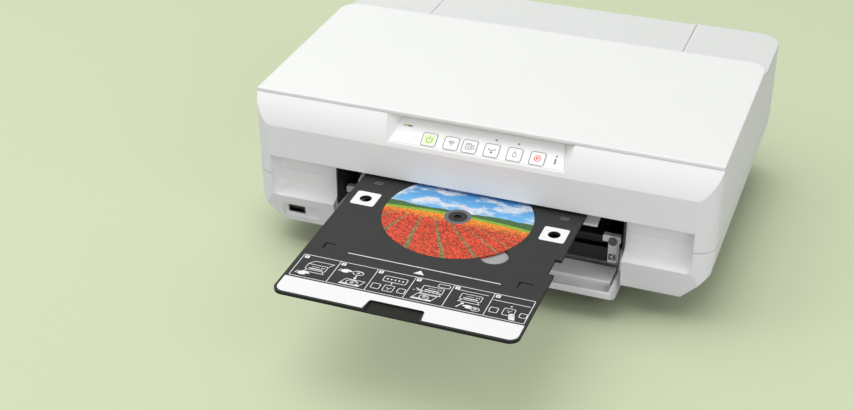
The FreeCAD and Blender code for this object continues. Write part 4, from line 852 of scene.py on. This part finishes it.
print("tags:", len(number_tags), "side marks:", len(side_marks))

# %% [markdown]
# ## Step numbers
# A number is a text object, turned into a mesh before it is set in its tag. All six are joined into one
# piece.

# %% Step numbers
number_size = 3.4
number_film = 0.02


def number_mesh(text, x, y):
    curve = bpy.data.curves.new("number " + text, "FONT")
    curve.body = text
    curve.size = number_size * MM
    curve.align_x = "CENTER"
    curve.align_y = "CENTER"
    curve.extrude = number_film * MM
    data = plain_mesh(into_scene("number " + text, curve))
    for vertex in data.vertices:
        vertex.co += Vector(on_tray(x, y, INK + number_film))
    return data


def add_step_numbers():
    joined = bmesh.new()
    tag_x, tag_y = (tag_left + tag_right) / 2, (tag_front + tag_back) / 2
    for step, x in enumerate(dividers[:-1], start=1):
        joined.from_mesh(number_mesh(str(step), x + tag_x, strip_back - tag_y))
    data = finished_mesh("tray_step_numbers", joined)
    data.materials.append(dark_ink)
    piece = into_scene("tray_step_numbers", data)
    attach(piece, "disc_tray")
    print("step numbers' faces:", len(data.polygons))


add_step_numbers()

# %% [markdown]
# ## Floor of the finger notch
# A fingertip lifts the disc out at a round notch on the disc's edge. Its floor is a pale insert, which
# tells the user where to put the finger.

# %% Notch floor
notch_x, notch_y, notch_radius = 44.4, -43.4, 11.1
notch_floor = 0.6
notch_low = notch_floor - (tray_top - tray_low.z) / MM
notch_outline = [ellipse(notch_x, notch_y, notch_radius, count=48)]
pale_insert = moulded("Pale notch insert", srgb(166, 168, 170), 0.42, 1800.0, 0.08, 0.03, 0.0)
lay_ink("tray_notch_floor", notch_outline, on_tray, pale_insert, "disc_tray",
        notch_low, notch_low + INK)
print("notch floor below the tray's top:", round(-notch_low, 2), "mm")

# %% [markdown]
# ## Arms of the lower cassette
# A small rubber end cap sits on each arm's boss, and a dark label with a white chevron on each leg points
# at the loaded paper. The cap is a turned part: its profile is swept round the boss's axis in 28 steps.

# %% Arm caps
boss_x, boss_z, boss_front = 111.5, 51.8, -60.1
cap_steps = 28
cap_profile = [(3.5, 0.0), (3.5, 0.7), (3.1, 1.1), (2.2, 1.1), (1.9, 0.5), (1.0, 0.5), (0.8, 0.9), (0.0, 0.9)]
cap_rubber = moulded("Grey cap rubber", srgb(112, 112, 113), 0.7, 2400.0, 0.25, 0.10, 0.0)


def turned_cap(mesh, x):
    angles = [2 * math.pi * i / cap_steps for i in range(cap_steps)]
    rings = [[mesh.verts.new(((x + radius * math.cos(a)) * MM, (boss_front - proud) * MM,
                              (boss_z + radius * math.sin(a)) * MM)) for a in angles]
             for radius, proud in cap_profile[:-1]]
    tip = mesh.verts.new((x * MM, (boss_front - cap_profile[-1][1]) * MM, boss_z * MM))
    mesh.faces.new(rings[0][::-1])
    for i in range(cap_steps):
        j = (i + 1) % cap_steps
        for near, far in zip(rings, rings[1:]):
            mesh.faces.new((near[i], near[j], far[j], far[i]))
        mesh.faces.new((rings[-1][i], rings[-1][j], tip))


def add_arm_caps():
    mesh = bmesh.new()
    for x in (-boss_x, boss_x):
        turned_cap(mesh, x)
    bmesh.ops.recalc_face_normals(mesh, faces=mesh.faces)
    data = finished_mesh("cassette_arm_caps", mesh)
    data.materials.append(cap_rubber)
    piece = into_scene("cassette_arm_caps", data)
    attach(piece, "a4_cassette")
    print("arm caps' faces:", len(data.polygons))


add_arm_caps()

# %% Arm labels
leg_x, leg_front = 111.3, -58.6
label_z, label_half_x, label_half_z = 36.2, 3.0, 2.9
chevron_half_x, chevron_half_z, chevron_stroke = 1.3, 1.9, 0.9


def on_leg(x, z, height):
    return (x * MM, (leg_front - height) * MM, (label_z + z) * MM)


def label(side):
    middle = side * leg_x
    return rounded(middle - label_half_x, -label_half_z, middle + label_half_x, label_half_z, 0.5, 3)


def chevron(side):
    outer, inner = side * (leg_x + chevron_half_x), side * (leg_x - chevron_half_x)
    return ribbon([(outer, chevron_half_z), (inner, 0.0), (outer, -chevron_half_z)], chevron_stroke)


labels = [label(-1), label(1)]
chevrons = chevron(-1) + chevron(1)
lay_ink("arm_labels", labels, on_leg, grey_ink, "a4_cassette")
lay_ink("arm_chevrons", chevrons, on_leg, white_ink, "a4_cassette", INK, 2 * INK)
print("arm labels:", len(labels))

# %% [markdown]
# ## Teeth of the timing belt
# A timing belt carries small teeth on its inner face, about two millimetres apart. They repeat along the
# belt's two straight runs, so a Geometry Nodes tree places them: points along a line, one small block on
# each point. The tree has its pitch and sizes as named inputs, and its result is turned into a plain mesh.

# %% Belt tooth tree
def build_tooth_tree():
    sizes = ("Pitch", "Tooth Length", "Tooth Width", "Tooth Height")
    inputs = [("Geometry", "Geometry"), *[(label, "Float") for label in sizes], ("Material", "Material")]
    tree, given, result = new_group("Belt teeth", inputs, [("Geometry", "Geometry")], "GeometryNodeTree")
    points = tree.nodes.new("GeometryNodeCurveToPoints")
    points.mode = "LENGTH"
    size = tree.nodes.new("ShaderNodeCombineXYZ")
    block = tree.nodes.new("GeometryNodeMeshCube")
    place = tree.nodes.new("GeometryNodeInstanceOnPoints")
    real = tree.nodes.new("GeometryNodeRealizeInstances")
    paint = tree.nodes.new("GeometryNodeSetMaterial")
    flow = (given, points, place, real, paint, result)
    for before, after in zip(flow, flow[1:]):
        tree.links.new(before.outputs[0], after.inputs[0])
    sockets = (points.inputs["Length"], size.inputs["X"], size.inputs["Y"], size.inputs["Z"])
    for label, socket in zip(sizes, sockets):
        tree.links.new(given.outputs[label], socket)
    tree.links.new(given.outputs["Material"], paint.inputs["Material"])
    tree.links.new(size.outputs[0], block.inputs["Size"])
    tree.links.new(block.outputs["Mesh"], place.inputs["Instance"])
    return tree


tooth_tree = build_tooth_tree()
print("tooth tree's nodes:", len(tooth_tree.nodes))

# %% Belt teeth
belt_low, belt_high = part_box("timing_belt")
belt_skin, belt_side = 1.0, 0.1
tooth_pitch, tooth_length, tooth_height, tooth_root = 2.03, 1.0, 0.5, 0.02
turn_room = 1.0


def belt_runs():
    """Two straight lines, half a tooth above the lower run and half a tooth below the upper one."""
    turn = (belt_high.z - belt_low.z) / 2 + turn_room * MM
    middle = (belt_low.y + belt_high.y) / 2
    inset = (belt_skin + tooth_height / 2) * MM
    runs = bpy.data.curves.new("belt runs", "CURVE")
    runs.dimensions = "3D"
    for z in (belt_low.z + inset, belt_high.z - inset):
        spline = runs.splines.new("POLY")
        spline.points.add(1)
        spline.points[0].co = (belt_low.x + turn, middle, z, 1)
        spline.points[1].co = (belt_high.x - turn, middle, z, 1)
    return runs


def add_belt_teeth():
    source = into_scene("belt runs", belt_runs())
    modifier = source.modifiers.new("teeth", "NODES")
    modifier.node_group = tooth_tree
    sizes = {"Pitch": tooth_pitch * MM, "Tooth Length": tooth_length * MM,
             "Tooth Width": belt_high.y - belt_low.y - 2 * belt_side * MM,
             "Tooth Height": (tooth_height + tooth_root) * MM, "Material": finish["belt_rubber"]}
    for item in tooth_tree.interface.items_tree:
        if item.in_out == "INPUT" and item.name in sizes:
            modifier[item.identifier] = sizes[item.name]
    data = plain_mesh(source)
    piece = into_scene("belt_teeth", data)
    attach(piece, "printer")
    faces_per_tooth = 6
    print("belt teeth:", len(data.polygons) // faces_per_tooth)


add_belt_teeth()

# %% [markdown]
# ## Control panel marks
# The keys lie on a plane that rises 32 degrees from the front crease. Marks on a key ride on that key, so
# they sink with it when it is pressed; the rest is printed on the panel itself.

# %% Panel plane
panel_rise = math.radians(32.0)
key_slope = 9.4
key_proud = 0.25
panel_foot = Vector((0, -81.1, 118.2)) * MM
up_slope = Vector((0, math.cos(panel_rise), math.sin(panel_rise)))
off_panel = Vector((0, -math.sin(panel_rise), math.cos(panel_rise)))
key_places = {"power": -40.2, "radio": -21.6, "setup": -6.2, "feed": 12.2, "ink": 31.2, "stop": 50.0}


def on_panel(x, along, height):
    return panel_foot + Vector((x * MM, 0, 0)) + up_slope * along * MM + off_panel * height * MM


def on_key(name):
    def place(x, along, height):
        return on_panel(key_places[name] + x, key_slope + along, key_proud + height)
    return place


print("keys:", list(key_places))


# %% Key symbols
def symbol_power():
    arc = ribbon(ellipse(0, -0.3, 2.5, 2.5, 18, 125, 290), 0.9)
    return arc + [bar(-0.45, -0.1, 0.45, 3.2)]


def symbol_radio():
    waves = [bar(-0.4, -2.4, 0.4, -1.6)]
    for r in (1.8, 3.0, 4.2):
        waves += ribbon(ellipse(0, -2.2, r, r, 8, 50, 80), 0.5)
    return waves


def symbol_setup():
    sheet = ribbon([(-3.0, -2.6), (1.0, -2.6), (1.0, 2.6), (-3.0, 2.6)], fine_stroke, True)
    lines = [bar(-2.2, y, 0.2, y + 0.4) for y in (-1.4, 0.0, 1.4)]
    return sheet + lines + ribbon(rounded(2.0, -2.2, 3.6, 1.4, 0.5, 2), fine_stroke, True)


def symbol_feed():
    roll = ribbon([(-3.2, 1.6), (-1.8, 0.2), (1.8, 0.2), (3.2, 1.6)], 0.5)
    return roll + [ellipse(0, -1.7, 0.9, 0.9, 12)]


def symbol_drop():
    drop = [(0, 2.6), (0.9, 1.0), (1.45, -0.4), (1.3, -1.5), (0.6, -2.2), (-0.6, -2.2), (-1.3, -1.5),
            (-1.45, -0.4), (-0.9, 1.0)]
    return ribbon(drop, fine_stroke, True)


def symbol_stop():
    ring = ribbon(ellipse(0, 0, 2.4, 2.4, 24), 0.7, True)
    return ring + [[(-1.0, -1.4), (-1.0, 1.4), (1.5, 0.0)]]


print("shapes in the power and stop symbols:", len(symbol_power()), len(symbol_stop()))

# %% Key prints
symbols = {
    "power": (symbol_power, green_ink), "radio": (symbol_radio, grey_ink), "setup": (symbol_setup, dark_ink),
    "feed": (symbol_feed, dark_ink), "ink": (symbol_drop, dark_ink), "stop": (symbol_stop, red_ink),
}
key_half_x, key_half_y, key_corner, key_stroke = 5.95, 5.8, 1.8, 0.38
key_outline = ribbon(rounded(-key_half_x, -key_half_y, key_half_x, key_half_y, key_corner), key_stroke, True)
for key, (draw_symbol, ink) in symbols.items():
    lay_ink("key_outline_" + key, key_outline, on_key(key), grey_ink, "button_" + key)
    lay_ink("key_symbol_" + key, draw_symbol(), on_key(key), ink, "button_" + key)
print("keys printed:", len(symbols))

# %% [markdown]
# ## The lit key and the two lamps
# The light of a lit key is painted as a pale green plate inside its outline, half as thick as an ink film so
# that the symbol stands on top. Beside the keys one lamp's light is painted green and the other lamp is dark.

# %% Lit power key and lamps
glow_half_x, glow_half_y, glow_corner = 4.9, 4.7, 1.4
glow_film = INK * 0.5
glow_green = moulded("Pale green key glow", srgb(234, 245, 204), 0.32, 2200.0, 0.03, 0.01, 0.0)
# painted light: the power key's backlight as a pale green plate
glow = [rounded(-glow_half_x, -glow_half_y, glow_half_x, glow_half_y, glow_corner, 4)]
lay_ink("key_glow_power", glow, on_key("power"), glow_green, "button_power", 0.0, glow_film)
lamp_front, lamp_back = 18.2, 19.4
lamp_left, lamp_middle, lamp_right = -65.6, -61.4, -57.6
# painted light: the lit lamp's light as green ink; the other lamp is dark
lit = [bar(lamp_left, lamp_front, lamp_middle, lamp_back)]
dark = [bar(lamp_middle, lamp_front, lamp_right, lamp_back)]
lay_ink("panel_lamp_green", lit, on_panel, green_ink, "printer")
lay_ink("panel_lamp_dark", dark, on_panel, dark_ink, "printer")
print("lamp faces:", len(lit) + len(dark))

# %% [markdown]
# ## Studio
# The floor is one pale green plane that keeps the printer's soft shadow. The camera and mirrors see the
# green, while the light that it sends back up is a neutral grey, so that white plastic stays white. A part of
# the green glows by itself, which keeps the shadow under the tray soft. The glow fades wherever a piece is
# close over the floor, a painted contact shadow, so the printer still sits in a dark line of contact.

# %% Floor
floor_size = 6.0
backdrop_green = srgb(213, 223, 188)
glow_share = 0.36
floor_green = [c * (1 - glow_share) for c in backdrop_green]
floor_glow = [c * glow_share for c in backdrop_green]
floor_bounce = (0.35, 0.35, 0.35)
no_light = (0, 0, 0)
floor_roughness, floor_shine = 0.9, 0.1
contact_reach, contact_gain = 0.065, 3.0


def seen_rays(tree):
    """One for the rays of the camera, of mirrors and of glass."""
    rays = tree.nodes.new("ShaderNodeLightPath")
    seen = math_node(tree, "MAXIMUM", rays.outputs["Is Camera Ray"], rays.outputs["Is Glossy Ray"])
    return math_node(tree, "MAXIMUM", seen, rays.outputs["Is Transmission Ray"])


def near_printer(tree):
    """A painted contact shadow: one where the printer stands just over the floor, falling to nothing a few
    centimetres away.
    """
    cover = tree.nodes.new("ShaderNodeAmbientOcclusion")
    cover.inputs["Distance"].default_value = contact_reach
    hidden = math_node(tree, "SUBTRACT", 1.0, cover.outputs["AO"])
    return math_node(tree, "MULTIPLY", math_node(tree, "MULTIPLY", hidden, hidden), contact_gain, clamp=True)


def build_floor():
    mesh = bmesh.new()
    bmesh.ops.create_grid(mesh, x_segments=2, y_segments=2, size=floor_size)
    data = finished_mesh("floor", mesh)
    material, tree, shader = new_material("Pale green floor")
    seen = seen_rays(tree)
    # painted contact shadow: the floor's glow fades close under the printer
    glow = mix_color(tree, near_printer(tree), floor_glow, no_light)
    tree.links.new(mix_color(tree, seen, floor_bounce, floor_green), shader.inputs["Base Color"])
    tree.links.new(mix_color(tree, seen, no_light, glow), shader.inputs["Emission Color"])
    set_inputs(shader, {"Emission Strength": 1.0, "Roughness": floor_roughness,
                        "Specular IOR Level": floor_shine})
    data.materials.append(material)
    floor = into_scene("floor", data)


build_floor()
print("floor:", 2 * floor_size, "m wide")

# %% [markdown]
# ## Lamps and sky
# A large lamp overhead and one on each side light the tops most and the fronts a step less. Two low lamps
# reach into the mouth, and an even sky fills in the rest. All lamps look at the printer's middle.

# %% Lamps
def soft_lamp(name, place, size, power):
    light = bpy.data.lights.new(name, "AREA")
    light.shape = "DISK"
    light.size = size
    light.energy = power
    lamp = into_scene(name, light)
    lamp.location = place
    lamp.rotation_euler = (-Vector(place)).to_track_quat("-Z", "Y").to_euler()


soft_lamp("overhead lamp", (-0.6, 0.0, 2.3), 2.2, 29.0)
soft_lamp("left lamp", (-1.8, -1.0, 1.4), 1.6, 11.0)
soft_lamp("right lamp", (1.8, -1.0, 1.4), 1.6, 13.0)
soft_lamp("rear lamp", (-1.2, 1.4, 1.8), 1.6, 3.6)
soft_lamp("low right lamp", (1.0, -1.5, 0.35), 0.9, 3.4)
soft_lamp("low front lamp", (0.25, -1.9, 0.30), 0.9, 3.0)
print("lamps:", len(bpy.data.lights))

# %% Sky
sky_strength = 0.315
sky_green = srgb(207, 217, 182)
world = bpy.data.worlds.new("even sky")
bpy.context.scene.world = world
world.use_nodes = True
sky_tree = world.node_tree
sky_light = sky_tree.nodes["Background"]
set_inputs(sky_light, {"Color": (1, 1, 1, 1), "Strength": sky_strength})
backdrop = sky_tree.nodes.new("ShaderNodeBackground")
set_inputs(backdrop, {"Color": (*sky_green, 1), "Strength": 1.0})
choose = sky_tree.nodes.new("ShaderNodeMixShader")
sky_tree.links.new(seen_rays(sky_tree), choose.inputs[0])
sky_tree.links.new(sky_light.outputs[0], choose.inputs[1])
sky_tree.links.new(backdrop.outputs[0], choose.inputs[2])
sky_tree.links.new(choose.outputs[0], sky_tree.nodes["World Output"].inputs["Surface"])
print("sky strength:", sky_strength)

# %% [markdown]
# ## Camera
# The camera stands about a metre away, 31 degrees above the tray and 21 degrees round to the printer's
# right. Its place is given from the disc's centre, because the disc is the one thing here whose size is
# certain. The lens is written as a distance in pixels at a known picture width, and turned into
# millimetres.

# %% Camera
focal_pixels = 1472.1
picture_width = 854.0
sensor_width = 36.0
far_limit = 50.0
yaw, pitch, roll = math.radians(-20.878), math.radians(31.253), math.radians(0.359)
camera_offset = Vector((327.2, -925.5, 606.4)) * MM
camera_data = bpy.data.cameras.new("camera")
camera_data.sensor_width = sensor_width
camera_data.lens = focal_pixels * sensor_width / picture_width
camera_data.clip_end = far_limit
camera = into_scene("camera", camera_data)
camera.location = disc_center + camera_offset
forward = Vector((math.sin(yaw) * math.cos(pitch), math.cos(yaw) * math.cos(pitch), -math.sin(pitch)))
level = Vector((math.cos(yaw), -math.sin(yaw), 0))
down = forward.cross(level)
right = level * math.cos(roll) + down * math.sin(roll)
true_down = down * math.cos(roll) - level * math.sin(roll)
camera.rotation_euler = Matrix((right, -true_down, -forward)).transposed().to_euler()
bpy.context.scene.camera = camera
bpy.context.scene.view_settings.view_transform = "Standard"
print("lens:", round(camera_data.lens, 1), "mm, distance:", round(camera_offset.length, 2), "m")
